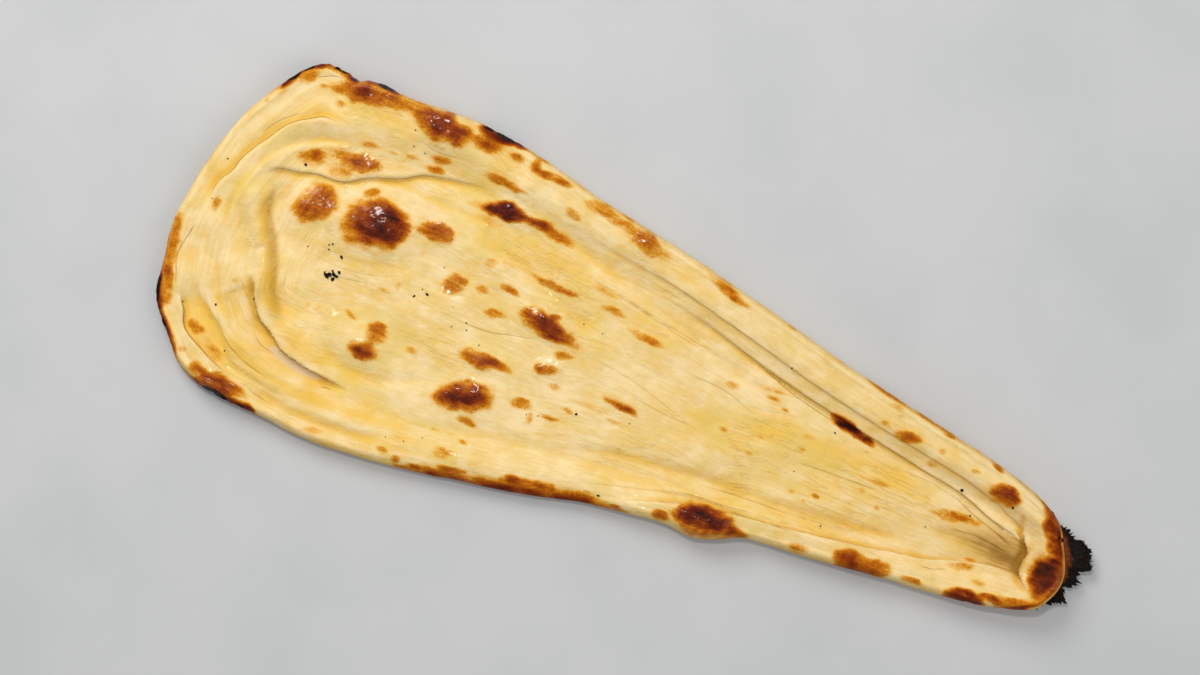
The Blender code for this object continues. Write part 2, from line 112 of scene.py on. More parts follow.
# Overlapping folds. The layer on the left hand of the run lies over the other: how high it stands, how far
# that height fades, how deep the lower layer dips, how far the dip fades, how sharp the step is, and how
# far the upper layer hangs over the lower one.
FOLDS = [
    ("inner_crease", 1.4, 9, 1.2, 7, 1.4, 0.3,
     [(-195.8, 23.4), (-195, 26.5), (-190.5, 29.5), (-182.8, 31), (-175, 33.2), (-165, 33.8),
      (-160.5, 35), (-154.3, 38.8), (-149, 41.8), (-142, 44.2), (-135, 47.2), (-129, 51), (-120, 53.5),
      (-105, 56), (-90, 57.5)]),
    ("pool_flank", 3.2, 9, 2.4, 10, 5.0, 0.0,
     [(-163, -41), (-166.7, -34.7), (-170.7, -28), (-174, -21), (-177.8, -11.2), (-182, -2),
      (-185.8, 3.4), (-189.7, 10.3), (-190.5, 17.2), (-193.5, 25)]),
    ("lower_left_overlap", 2.4, 9, 2.4, 8, 1.4, 1.2,
     [(-189.3, -21.3), (-182.7, -25.3), (-180, -30.7), (-175.3, -37.3), (-172, -40.7), (-166, -44),
      (-158.7, -49.3), (-152, -51.3), (-142, -53.3), (-132, -54.7), (-121, -56)]),
    ("outer_left_rim", 1.5, 6, 1.9, 5, 1.3, 0.6,
     [(-174, -71), (-184, -67.7), (-189.3, -65.7), (-194.7, -63), (-202, -59.3), (-205.3, -56.7),
      (-207.2, -53.3), (-208.7, -49.3), (-210.8, -46), (-213, -41)]),
    ("outer_rim_fold", 1.4, 9, 2.3, 8, 2.0, 0.4,
     [(-166, 57.5), (-175, 59.5), (-181.2, 59.2), (-185.8, 56.5), (-192, 52.6), (-197.4, 47.2),
      (-201.2, 41), (-206.6, 32.6), (-209.7, 26.5), (-211.6, 19.5), (-215, 14.2), (-216.6, 7.2),
      (-214.3, -2.8)]),
    ("second_layer", 1.0, 7, 1.5, 6, 3.0, 0.0,
     [(-158, 53.5), (-174, 49), (-188, 42), (-198, 31), (-204, 18), (-206, 6), (-205, -6)]),
    ("left_layer", 0.9, 6, 1.6, 6, 4.0, 0.0,
     [(-215, -2), (-211.3, -11.3), (-207.3, -18), (-202, -22.7), (-198.5, -29), (-195, -37),
      (-188, -44)]),
    ("left_fold", 1.2, 7, 1.6, 7, 3.6, 0.0,
     [(-212, -28), (-204, -39), (-197.3, -45.3), (-189.3, -50.7), (-185.3, -56), (-179, -63),
      (-163, -67), (-140, -69)]),
    ("upper_rim_line", 0.6, 8, 0.5, 6, 1.2, 0.5,
     [(-60, 56.7), (-28, 51.3), (0, 47.5), (40, 38.8), (80, 29.2), (120, 21.5), (140, 18.3),
      (152, 16.3), (163, 14.3), (171, 12), (181, 9.3), (187, 6.3), (194, 3.7), (199, -0.5)]),
    ("main_overlap", 1.2, 8, 1.4, 9, 1.3, 0.9,
     [(-10, 42.5), (20, 37), (52, 28.8), (79, 22.9), (108, 17.5), (130, 13.7), (143, 11.3),
      (153.3, 9.7), (161.3, 8.3), (170, 5.7), (178, 2.7), (186.7, 0), (194, -2), (201, -6)]),
    ("lower_rim_line", 1.6, 8, 1.3, 7, 1.3, 0.8,
     [(206, -19), (200.7, -18.3), (194, -18.3), (186.7, -19.3), (176.7, -21.7), (167.3, -24.7),
      (160, -27.3), (153.3, -28.7), (143.3, -30.3), (134, -32.3), (90, -39), (50, -44.2), (20, -53.3),
      (0, -61)]),
    ("tip_lip", 2.6, 7, 3.2, 9, 1.6, 0.8,
     [(193, 8), (198, -1), (202.2, -7), (201.2, -12), (202, -17), (204.5, -20), (209, -26)]),
]

# Plain grooves: depth, half-width and run.
GROOVES = [
    ("pool_ridge", -2.2, 4.5, [(-198, 20), (-198, 9), (-192, 0), (-186, -9), (-181, -19), (-178, -32)]),
    ("lower_left_ridge", -1.8, 3.8,
     [(-205, -30), (-194, -43), (-182, -52), (-166, -58), (-146, -61.5), (-122, -63)]),
    ("lower_left_groove", 1.6, 3.0, [(-172, -70), (-156, -74), (-136, -75), (-112, -73.5), (-90, -68)]),
    ("lower_crease", 1.6, 3.0,
     [(155, -21.5), (125, -26.3), (83, -30), (47, -32), (5, -36.7), (-30, -45)]),
    ("tip_groove", 1.2, 2.4, [(150, -13.5), (182, -12), (202, -14.4)]),
    ("middle_crease", 1.1, 3.6, [(-146, -36), (-131, -46), (-109, -45), (-84, -34)]),
    ("blister_foot", 1.2, 5.0, [(-162, -1), (-152, 0), (-135, 3.5), (-112, 10)]),
    ("middle_groove", 1.1, 3.8, [(-100, 35), (-70, 30), (-40, 17), (-24, 14)]),
    ("inner_branch", 0.8, 2.0,
     [(-151, 40.5), (-141, 42.8), (-132, 43.8), (-120, 42.6), (-104, 42), (-88, 40)]),
    ("long_furrow", 0.9, 3.4, [(-92, 60), (-60, 52), (-25, 41), (10, 31), (50, 19), (90, 8)]),
    ("lower_furrow", 0.9, 3.4, [(-95, -60), (-60, -52), (-20, -46), (30, -43)]),
]

# Hairline creases in the skin, too fine for the solid: depth, half-width and run.
HAIRLINES = [
    (0.5, 0.7, [(50, 28.0), (60, 25.2), (72, 21.2), (93, 16.6), (120, 11.5)]),
    (0.4, 0.8, [(47, -34.6), (70, -32.8), (95, -32.0)]),
    (0.4, 1.0, [(27, -44.8), (45, -40.8), (62, -39.6), (80, -37)]),
    (0.5, 1.0, [(162, -10), (178, -8.5), (196, -11)]),
    (0.5, 0.7, [(160, 6), (165, 3.2), (176, -1), (188, -4.5), (196, -8)]),
    (0.4, 0.7, [(157, -31.7), (163.3, -30.7), (170, -28)]),
    (0.4, 0.8, [(-168, -71.7), (-163, -73.4), (-156, -75)]),
    (0.5, 0.8, [(-136, -59), (-133, -58.4), (-130, -58.5)]),
    (0.4, 1.2, [(-100, -5), (-73, -5.4), (-60, -2.5), (-48, 0)]),
    (0.4, 1.2, [(20, 12), (43, 10.4), (58, 5.4)]),
    (0.3, 1.0, [(0, -8), (17, -10), (36, -11)]),
    (0.4, 1.0, [(80, -8.3), (104, -6.7), (130, -6)]),
    (0.5, 1.2, [(-190, -52), (-176, -60), (-158, -65)]),
    (0.6, 0.7, [(-218, -8), (-219.3, -14), (-221, -26.7), (-218, -34.7), (-216, -41)]),
    (0.5, 0.8, [(-196, 72.4), (-185.8, 78), (-178.2, 80), (-171, 80.6)]),
    (0.4, 0.9, [(-206, 40), (-202.5, 46.5), (-198, 52), (-190, 58)]),
    (0.4, 0.8, [(-174, -47), (-169, -51), (-160, -53)]),
    (0.3, 0.8, [(130, 7), (150, 6.6), (166, 3)]),
    (0.4, 0.9, [(-135, 66), (-125, 64), (-112, 65.5)]),
    (0.25, 1.0, [(-29.8, 36.1), (4.3, 29.6), (41.3, 23.3)]),
    (0.3, 1.0, [(-43.0, 37.4), (-7.3, 30.5), (31.3, 22.8)]),
    (0.25, 1.0, [(-26.0, -61.2), (10.1, -50.1), (47.3, -41.7), (82.2, -40.3), (131.9, -37.9)]),
    (0.22, 1.4, [(-165, -1.5), (-150, -3.4), (-134, -1.5), (-118, 4)]),
    (0.2, 1.2, [(-158, -6.5), (-146, -7.4), (-130, -4.5)]),
    (0.25, 1.0, [(-26.2, 2.1), (-2.2, -0.9), (34.9, -11.2)]),
]

# How the painted shade of a fold's foot spreads over its lower layer: fold, reach at the run's start and end,
# and strength at the run's start and end.
WIDE_SHADE = [
    ("main_overlap", 1.4, 7.0, 0.25, 1.1), ("upper_rim_line", 1.0, 1.6, 0.2, 0.6),
    ("lower_rim_line", 4.0, 1.4, 1.0, 1.0), ("inner_crease", 1.0, 1.0, 0.6, 0.1),
    ("lower_left_overlap", 3.6, 3.0, 1.4, 0.9),
]

# Blisters that the oven raised: place, half-length, half-width, turn in degrees and height.
BLISTERS = [
    (-140, 21, 21, 16, 20, 4.6), (-170, 20, 14, 11, 50, 2.6), (-157, 45, 14, 6, 12, 1.4),
    (-166, 76, 17, 6, 6, 1.6), (-127, 75, 16, 9, -8, 2.4), (-182, -74, 15, 6, -5, 1.4),
    (-123, -33, 10, 8, 10, 1.6), (-81, 50, 16, 5, 5, 1.6), (-47, 7.5, 17, 6.5, -3, 1.8),
    (-70, -19, 13, 5, -3, 1.2), (-71, -38, 16, 8, 20, 1.8), (-41, -11, 8, 4, 22, 0.9),
    (-19, 61, 15, 5, -14, 1.0), (54, -48, 15, 8, 8, 2.2), (129, -40, 13, 6, 8, 1.2),
    (181, 15, 9, 5, -12, 1.2), (181, -36, 10, 5, 5, 1.2), (212, -12, 11, 7, 90, 1.6),
    (-92, 26, 16, 8, 10, 0.9), (-110, 30, 12, 7, 5, 1.0), (-215, -38, 8, 5, -70, 0.8),
    (-171, -46, 9, 4, -35, -1.2),
]

# Browned places: where, half-length, half-width, turn in degrees, and how dark from 0 to 1.
TOASTED = [
    (-169.8, 20.4, 11.5, 8.5, 50, 0.65), (-140.5, 21.5, 15, 12, 20, 0.9), (-132, 24, 8, 8, 0, 0.5),
    (-147.5, 35, 3.5, 2.2, 20, 0.55), (-180, 39.5, 6, 3.5, 25, 0.6), (-157.5, 45.8, 10, 4, 10, 0.5),
    (-161, 46, 18, 6, 10, 0.3), (-166, 37.8, 6, 3, 0, 0.35), (-155.5, 55.3, 5, 1.7, 5, 0.4),
    (-144.5, 56, 2, 1, 0, 0.3), (-136, 57.6, 4, 1.2, 0, 0.35), (-123, 61.3, 5, 2.3, 0, 0.5),
    (-123.5, 56, 4.5, 2, 0, 0.55), (-167, 76.5, 16, 5, 8, 0.75), (-127, 76, 14, 7.5, -8, 0.85),
    (-147, 79, 12, 4, 0, 0.35), (-176.3, 67.3, 2.7, 1.9, 0, 0.45), (-186.7, 72.5, 2, 1, 0, 0.3),
    (-196, 75, 6, 4, 45, 0.5), (-212.7, 3.3, 4, 1.8, 90, 0.45), (-204, 63, 3, 1.5, 50, 0.35),
    (-209, 56.7, 2, 1.2, 90, 0.35), (-226.5, -15, 9, 3.4, -80, 0.45), (-222.5, -39, 9, 4.0, -74, 0.5),
    (-222.5, -48, 8, 2.6, -62, 0.9), (-224.5, -27, 8, 3.2, -80, 0.42), (-217, -47.5, 2.8, 2, 90, 0.4),
    (-200.5, -54.5, 5, 3.3, -10, 0.42), (-188, -62, 7.5, 3.0, -33, 0.3),
    (-202, -66.5, 2.2, 1.3, 0, 0.35), (-182, -75, 14, 4.8, -5, 0.8), (-131.7, -79.2, 6, 1.7, 15, 0.3),
    (-155.6, -25.4, 1.8, 1.3, 100, 0.3), (-191, -27.5, 1.8, 1.5, 0, 0.25),
    (-123.8, -35.8, 7.5, 4.5, 5, 0.8), (-120, -25.8, 6, 5, 0, 0.55), (-120, -20.8, 3, 1.5, 0, 0.45),
    (-135, -22, 4, 1.4, -25, 0.4), (-125.4, -5.8, 3.5, 1, 0, 0.3), (-119, -1.5, 2.5, 1.3, 90, 0.35),
    (-112.5, 29, 8.5, 4.2, 5, 0.7), (-95.5, 9.5, 6.5, 4.3, 45, 0.6), (-104, 76, 8, 4, 0, 0.65),
    (-102, 81.5, 9, 2.3, 0, 0.9), (-89.5, 75.5, 4, 1.8, 0, 0.5), (-71, 73, 10, 1.9, -3, 0.55),
    (-80.5, 76, 2.5, 2.5, 0, 0.5), (-90.5, 62.8, 10, 2.3, -4, 0.5), (-56, 60.3, 4.2, 2.5, -20, 0.5),
    (-42, 67, 10.5, 3, -12, 0.5), (-19, 61.5, 14, 4.2, -14, 0.52), (-86, 50, 10, 4.4, 5, 0.97),
    (-76, 50, 12, 3, 0, 0.6), (-60, 49, 10, 3.2, -8, 0.5), (-100, 48, 5, 2, 0, 0.3),
    (-92, 42.5, 6, 2.2, -10, 0.35), (-82.5, 25, 3.8, 1.9, 15, 0.35), (-51, 26.3, 12, 2.2, -4, 0.55),
    (-28, 33, 7, 1.4, -8, 0.38), (-21, 25.3, 6.5, 2, -8, 0.45), (-70, 17, 5, 2, -5, 0.55),
    (-82, 12, 3.5, 2.5, 0, 0.4), (-72.5, 3.5, 5, 2.2, 0, 0.45), (-51, 8, 12, 5.5, -3, 0.8),
    (-40, 5.8, 11, 4, -8, 0.6), (-45, 13.5, 3, 1.3, 0, 0.5), (-35, -2.4, 4.5, 1.8, 10, 0.5),
    (-2, 19.5, 9, 1.8, -7, 0.45), (-114.5, 17.7, 1.5, 1, 0, 0.3), (-72, -18.7, 8.5, 4, -3, 0.7),
    (-62, -18.5, 7, 2.4, -3, 0.5), (-70.8, -37.9, 14.5, 7.2, 20, 0.88), (-66, -48.3, 4.5, 1.7, 5, 0.5),
    (-40.8, -11.2, 6, 2.6, 22, 0.55), (-44.5, -30.5, 5.5, 3, 8, 0.5), (-39, -36, 2.8, 1.8, 90, 0.45),
    (-30.5, -32.3, 4.5, 1.4, 0, 0.45), (-24, -26, 3.5, 1.5, 0, 0.45), (-33.5, -18, 3.5, 2, 0, 0.4),
    (-1, -14.5, 9, 2.2, -5, 0.6), (-12, -19.5, 9, 1.8, 5, 0.3), (-1.5, -22.5, 4, 1.3, 0, 0.35),
    (-102.5, -27, 3, 1.7, 0, 0.4), (-63.5, -58, 2.3, 1.2, 0, 0.4), (-78, -57.5, 2.5, 1, 0, 0.3),
    (-71, -56.7, 2, 1, 0, 0.25), (-71, -66, 5, 2.6, 10, 0.4), (-98, -75.5, 3, 1.7, 0, 0.45),
    (-90, -77, 2.6, 2.2, 0, 0.5), (-79.5, -77, 4, 1.6, 0, 0.6), (-63, -72, 8, 2, 8, 0.65),
    (-33.5, -66, 9, 3, 12, 0.65), (-20.5, -63, 6, 2.5, 10, 0.6), (-3, -60, 6, 2, 12, 0.6),
    (26, 54.8, 11, 2.9, -20, 0.5), (55, 49.5, 3, 1.2, 0, 0.2), (5.5, 24, 3.5, 1.2, 0, 0.3),
    (61, 19.3, 8.5, 1.3, 0, 0.32), (64, 15.8, 3, 1.2, 0, 0.38), (44.5, 14, 3.7, 1.8, 0, 0.4),
    (71.5, 12.8, 2.3, 0.9, 0, 0.35), (86, 5.5, 4.5, 1.5, 0, 0.38), (85, -1.5, 2.2, 1.2, 0, 0.35),
    (116.5, 25, 2.2, 1.3, 0, 0.35), (119, 33.5, 4, 1.6, 0, 0.28), (114.5, 9, 2.6, 0.9, 0, 0.3),
    (99, 18, 7, 3.2, -14, 0.9), (109, 15, 8, 2, -14, 0.8), (65, -2.8, 2, 1, 0, 0.35),
    (47.5, -6.5, 2.5, 1.4, 0, 0.35), (63, -12, 2.5, 1.2, 0, 0.35), (99.5, -19, 2, 1.1, 0, 0.45),
    (88, -21.3, 1.9, 1.3, 0, 0.35), (95.2, -23.5, 1.4, 0.9, 0, 0.3), (50, -15.5, 4, 1, 0, 0.2),
    (54.5, -50.5, 16, 8.5, 2, 0.6), (54.5, -48.5, 11, 5, 8, 0.8), (34.5, -55, 4.3, 2.5, 0, 0.6),
    (14, -59.5, 3, 1, 8, 0.5), (72, -49.5, 6, 2.5, 0, 0.65), (101, -44.5, 5, 2, 8, 0.45),
    (129, 23.3, 7, 2.5, 5, 0.55), (146.3, 22.3, 2, 1.5, 0, 0.35), (163.8, 19.5, 2.5, 1.3, 0, 0.35),
    (145, 15.3, 3, 1.6, 0, 0.35), (181.5, 15, 7.6, 4.5, -12, 0.85), (173.5, 25.3, 3.5, 1.3, -15, 0.6),
    (146.5, 30.8, 4, 1, -8, 0.45), (194, 7, 3, 1.5, -60, 0.25), (177, 10, 2, 1.2, 0, 0.3),
    (123, -2.5, 8, 1.5, 0, 0.38), (118.8, -8.8, 2, 1.3, 0, 0.35), (128.3, -13.8, 1.8, 1.1, 0, 0.35),
    (148, 0, 2, 1, 0, 0.2), (165, -3.5, 12, 2.5, 9, 0.5), (178, -20.3, 3, 1.2, 0, 0.45),
    (176, -24.5, 6, 1.7, 15, 0.4), (185, -28.5, 3, 1.4, 0, 0.35), (125.5, -41, 9, 5, 5, 0.75),
    (138, -40, 7, 4.5, 15, 0.75), (155, -39, 5, 1.8, 0, 0.55), (181, -37, 8.5, 3.6, 5, 0.95),
    (193, -33.3, 4.5, 1.8, 0, 0.6), (211.5, -13, 8.5, 5.6, 90, 0.9), (211.5, -12, 5.5, 3.4, 90, 0.9),
    (213, -13, 15, 8.5, 88, 0.5), (203, -31, 9, 3, 14, 0.5), (214, -3, 9, 4.2, -65, 0.55),
    (208, 7.5, 14, 4.2, -53, 0.7),
]

# How brown the rim is along the bread, on its upper and lower side.
UPPER_RIM_BROWN = [
    (-230, 0.05), (-190, 0.5), (-150, 0.7), (-60, 0.6), (0, 0.3), (150, 0.4), (195, 0.6), (205, 0.75),
]
LOWER_RIM_BROWN = [
    (-230, 0.5), (-205, 0.6), (-150, 0.3), (-100, 0.4), (-60, 0.62), (40, 0.58), (90, 0.6), (150, 0.5),
    (200, 0.7),
]

# Deeper yellow bands: half-width, strength and run.
GOLDEN = [
    (6, 0.35, [(-219, -2), (-218, 12), (-214, 24), (-206, 40), (-197, 53), (-182, 62), (-160, 64)]),
    (4, 0.4, [(-201, 22), (-203, 8), (-201, -6), (-195, -18)]),
    # Painted shade as a deeper yellow on the slope left of the thin middle.
    (3.4, 0.9, [(-196, 26), (-193, 14), (-190, 4), (-184, -6), (-179, -16), (-172, -30), (-163, -40)]),
    (8, 0.65, [(-205, -38), (-190, -52), (-170, -60), (-145, -63), (-110, -64), (-80, -60)]),
    (7, 0.7, [(-172, -38), (-160, -44), (-140, -48), (-115, -50)]),
    (6, 0.45, [(-150, -72), (-115, -74), (-80, -68), (-40, -62)]),
    (6, 0.3, [(-196, 66), (-175, 70), (-150, 68), (-110, 68), (-70, 62), (-20, 55), (40, 44)]),
    (7, 0.25, [(-10, -48), (30, -44), (80, -34), (120, -28), (160, -20)]),
    (9, 0.5, [(10, -10), (50, -4), (100, 2), (150, 2)]),
    (6, 0.3, [(60, 36), (100, 28), (150, 20), (185, 14)]),
    (8, 0.4, [(-110, 48), (-80, 40), (-30, 32), (20, 20)]),
]

# The opening of the lower left overlap.
SLIT = [(-168, -48), (-160, -52), (-150, -54.3), (-140, -55), (-130, -54.8)]

# Wet, glinting butter: where, how wide and how strong.
WET = [
    (-189, -4, 8, 1), (-187, 21.5, 6, 0.8), (-157.5, 13, 5, 0.9), (-122.5, 26, 5, 0.8),
    (-185.5, -15.5, 5, 0.8), (-140, 20, 13, 1), (-170, 20, 10, 1), (-157, 46, 12, 0.9),
    (-127, 76, 12, 1), (-166, 77, 14, 0.9), (-110, 29, 8, 0.8), (-81, 50, 14, 0.9), (-95, 9, 7, 0.8),
    (-122, -33, 9, 0.9), (-47, 7, 13, 1), (-71, -38, 12, 1), (-70, -19, 9, 0.8), (-50, 26, 10, 0.6),
    (-38, -12, 9, 0.7), (54, -48, 14, 0.7), (212, -13, 9, 0.9), (182, 15, 8, 0.5), (-183, -75, 11, 0.7),
    (-19, 61, 12, 0.6), (-160, 33, 7, 0.6), (-149, -20, 9, 0.4), (-60, -66, 12, 0.5),
    (20, -52, 12, 0.5),
]

# Burnt crumbs lying on the bread: where, and how wide.
CRUMBS = [
    (-152.5, -9.3, 3.0), (-151.3, -8.3, 2.4), (-149.6, -7.5, 3.2), (-147.9, -7.9, 2.6),
    (-149.2, -9.8, 2.0), (-147.5, -5.7, 1.8), (-153.9, -8.1, 1.2), (-150.6, -6.2, 1.3),
    (-180.8, 35.4, 2.2), (-149.2, 1.4, 2.0), (-105.4, 0.2, 1.8), (-110.7, -2.8, 1.6),
    (-19.2, -25.8, 1.4), (66.5, 32.3, 1.5), (97.1, 11.7, 1.6), (4.8, -57.3, 1.5), (162.3, 9, 1.9),
    (213.3, 5, 2.6), (211.6, 5.4, 1.6), (186.7, 10.4, 1.6), (-215.8, 24.3, 0.9), (-215.4, 4.3, 0.9),
    (-156.7, 4.6, 1.0), (-156, 2.5, 1.1), (-155.2, 5.6, 1.0), (-165.8, 0.2, 0.8), (-138.8, 69.6, 0.9),
    (-136.8, 62.3, 0.8), (-130.8, 61.2, 0.9), (-179.6, -32.1, 1.4), (-210.6, -45.8, 1.1),
    (-195.4, -41.3, 1.2), (-183.5, -60, 1.0), (-102.5, 15, 0.8), (-108.3, 1.6, 0.9), (-91.7, -0.7, 0.8),
    (-31.7, 14.8, 0.8), (-21.8, 14, 0.7), (-83.2, -5.3, 0.8), (-81.9, -8.5, 0.7), (-89, -9.4, 0.8),
    (-73.8, -12.9, 0.8), (-35.6, -33.3, 0.7), (-40.8, -34.7, 0.8), (-84.2, -43, 0.7), (-82.1, -63, 0.8),
    (-89.6, -67.8, 0.7), (-98.2, -69.2, 0.7), (5.7, -20.5, 0.8), (107.3, -31.5, 0.8), (86, -12.3, 0.7),
    (170.8, -0.6, 1.0), (153, -13.3, 1.0),
]

# The charred fringe beyond the tip: angle in degrees seen from FRINGE_HUB, and how far it reaches.
FRINGE_HUB = (200, -10)
FRINGE_ROOT = 14.0
FRINGE_TOP = 7.0
FRINGE_COLUMNS = 300
FRINGE_ROWS = 12
FRINGE_STEP = 0.21
FLAKE_THICK = 0.84
FLAP_THICK = 0.5
FRINGE = [
    (-58, 22.0), (-54, 25.6), (-40, 24.7), (-30, 27.7), (-22.6, 30.7), (-19.8, 28.4), (-12.7, 24.6),
    (-5, 29.1), (-0.8, 30.4), (3.5, 28.0), (9.2, 28.7), (12.2, 34.1), (20.5, 33.4), (26, 33.4),
    (34, 32.1), (38, 30.6), (40, 28.1), (52, 26.4), (60, 24.9),
]


def between(t, start, end, a, b):
    """The place at t on the way from a, at start, to b, at end."""
    return (end - t) / (end - start) * a + (t - start) / (end - start) * b


def smooth_run(places, per_span=12):
    """A smooth curve through the places, as closely spaced points."""
    p = np.array(places, float)
    ends = np.vstack([2 * p[0] - p[1], p, 2 * p[-1] - p[-2]])
    rows = []
    for i in range(1, len(ends) - 2):
        a, b, c, d = ends[i - 1:i + 3]
        spans = [max(np.linalg.norm(span), 1e-6) ** 0.5 for span in (b - a, c - b, d - c)]
        k0, k1, k2, k3 = np.cumsum([0.0, *spans])
        for t in np.linspace(k1, k2, per_span, endpoint=False):
            near_b = between(t, k1, k2, b, c)
            first = between(t, k0, k2, between(t, k0, k1, a, b), near_b)
            last = between(t, k1, k3, near_b, between(t, k2, k3, c, d))
            rows.append(between(t, k1, k2, first, last))
    rows.append(p[-1])
    return np.array(rows)


def even_run(places, count):
    """The smooth curve through the places cut into evenly long steps."""
    run = smooth_run(places)
    steps = np.linalg.norm(np.diff(run, axis=0), axis=1)
    along = np.concatenate([[0], np.cumsum(steps)]) / steps.sum()
    at = np.linspace(0, 1, count + 1)
    return np.column_stack([np.interp(at, along, run[:, 0]), np.interp(at, along, run[:, 1])])


def outward(loop):
    """Outward normals of a closed anticlockwise loop."""
    along = np.roll(loop, -1, axis=0) - np.roll(loop, 1, axis=0)
    along /= np.linalg.norm(along, axis=1)[:, None]
    return np.column_stack([along[:, 1], -along[:, 0]])


def inset(loop, distance):
    """The loop drawn inwards in small steps, eased after each so that tight bends never cross."""
    steps = max(1, int(np.ceil(distance / 1.5)))
    for _ in range(steps):
        loop = loop - outward(loop) * distance / steps
        for _ in range(0 if steps == 1 else 8):
            loop = 0.5 * loop + 0.25 * (np.roll(loop, 1, axis=0) + np.roll(loop, -1, axis=0))
    return loop


def to_outline(points, loop):
    """Shortest distance of each point to the outline."""
    best = np.full(len(points), 1e9)
    for start, end in zip(loop, np.roll(loop, -1, axis=0)):
        step = end - start
        share = np.clip(((points - start) @ step) / (step @ step), 0, 1)
        gap = points - (start + share[:, None] * step)
        best = np.minimum(best, (gap ** 2).sum(axis=1))
    return np.sqrt(best)


def to_run(points, places):
    """Signed distance of each point to a run (left hand positive), share along it, and nearest place."""
    run = smooth_run(places, 8)
    low = run.min(axis=0) - RUN_REACH
    high = run.max(axis=0) + RUN_REACH
    close = np.nonzero(((points > low) & (points < high)).all(axis=1))[0]
    part = points[close]
    best = np.full(len(part), 1e9)
    side = np.zeros(len(part))
    share_part = np.zeros(len(part))
    foot_part = np.zeros((len(part), 2))
    for i in range(len(run) - 1):
        step = run[i + 1] - run[i]
        share = np.clip(((part - run[i]) @ step) / (step @ step), 0, 1)
        foot = run[i] + share[:, None] * step
        gap = part - foot
        size = (gap ** 2).sum(axis=1)
        near = size < best
        best[near] = size[near]
        side[near] = np.sign(step[0] * gap[near, 1] - step[1] * gap[near, 0])
        share_part[near] = (i + share[near]) / (len(run) - 1)
        foot_part[near] = foot[near]
    away = np.full(len(points), 2.0 * RUN_REACH)
    away[close] = np.sqrt(best) * np.where(side == 0, 1, side)
    share_along = np.zeros(len(points))
    share_along[close] = share_part
    nearest = np.array(points, float)
    nearest[close] = foot_part
    return away, share_along, nearest


def ease(value, low, high):
    """0 below low, 1 above high, and a smooth way between."""
    t = np.clip((value - low) / (high - low), 0, 1)
    return t * t * (3 - 2 * t)


def band(value, start, full, fading, end):
    """1 between full and fading, and 0 before start and after end."""
    return ease(value, start, full) * (1 - ease(value, fading, end))


def near_run(points, places, fade_in=0.2, fade_out=0.8):
    """Signed distance to a run, share along it, and a weight that fades in and out at its ends."""
    s, along, _ = to_run(points, places)
    return s, along, band(along, 0, fade_in, fade_out, 1)


def bell(distance, half_width):
    return np.exp(-((distance / half_width) ** 2))


def in_oval(x, y, long_half, wide_half, turn):
    """Places along and across a turned oval, counted in its half-length and half-width."""
    c = np.cos(np.radians(turn))
    n = np.sin(np.radians(turn))
    return (x * c + y * n) / long_half, (y * c - x * n) / wide_half


def profile(x, y, column):
    """A height of PROFILE at x, eased between its upper and lower side where it has both."""
    table = np.array(PROFILE, float)
    if column in ("rim", "rim_width"):
        first = 1 if column == "rim" else 2
        up = np.interp(x, table[:, 0], table[:, first])
        low = np.interp(x, table[:, 0], table[:, first + 2])
        return low + (up - low) * ease(y, -22, 22)
    return np.interp(x, table[:, 0], table[:, 5 if column == "middle" else 6])


def waves(x, y):
    """The slow unevenness of hand-stretched dough, from a few seeded waves."""
    draw = np.random.default_rng(SEED)
    total = np.zeros_like(x)
    for _ in range(9):
        long_way = draw.uniform(55, 130)
        across = draw.uniform(22, 55)
        phase = draw.uniform(0, 2 * np.pi, 2)
        total += np.sin(2 * np.pi * x / long_way + phase[0]) * np.sin(2 * np.pi * y / across + phase[1])
    return 0.22 * total


@functools.lru_cache(None)
def mottle_table(seed):
    return np.random.default_rng(seed).uniform(-1, 1, (MOTTLE_CELLS, MOTTLE_CELLS))


def mottle(x, y, size, seed):
    """Seeded unevenness from -1 to 1 with patches about size across."""
    table = mottle_table(seed)
    gx = x / size + MOTTLE_START
    gy = y / size + MOTTLE_START
    i = np.floor(gx).astype(int)
    j = np.floor(gy).astype(int)
    s = ease(gx - i, 0, 1)
    t = ease(gy - j, 0, 1)
    i, i_next, j, j_next = (k % MOTTLE_CELLS for k in (i, i + 1, j, j + 1))
    low = table[i, j] * (1 - s) + table[i_next, j] * s
    high = table[i, j_next] * (1 - s) + table[i_next, j_next] * s
    return low * (1 - t) + high * t


def top_height(points, loop):
    """Height of the upper surface in millimetres."""
    x, y = points.T
    inward = to_outline(points, loop)
    rim = profile(x, y, "rim")
    width = profile(x, y, "rim_width")
    middle = profile(x, y, "middle")
    height = rim + (middle - rim) * ease(inward, 0.5 * width, 1.15 * width)
    height += waves(x, y) * ease(inward, 2, 14)
    for _, rise, rise_fade, dip, dip_fade, sharp, _, places in FOLDS:
        s, _, taper = near_run(points, places, 0.16, 0.86)
        over = 1 / (1 + np.exp(-np.clip(s / (0.22 * sharp), -40, 40)))
        lift = over * rise * np.exp(-np.maximum(s, 0) / rise_fade)
        drop = (1 - over) * dip * np.exp(-np.maximum(-s, 0) / dip_fade)
        height += taper * (lift - drop)
    for _, depth, half_width, places in GROOVES:
        s, _, taper = near_run(points, places)
        height -= taper * depth * bell(s, half_width)
    for bx, by, long_half, wide_half, turn, rise in BLISTERS:
        across, over = in_oval(x - bx, y - by, long_half, wide_half, turn)
        height += rise * np.exp(-((across ** 2 + over ** 2) ** 1.3))
    roundness = EDGE_ROUND + 3.5 * band(x, -110, -70, 0, 30) * (y < 0)
    fall = (1 - np.clip(inward / roundness, 0, 1)) ** 2
    height *= 1 - (1 - EDGE_SHARE) * fall
    return height


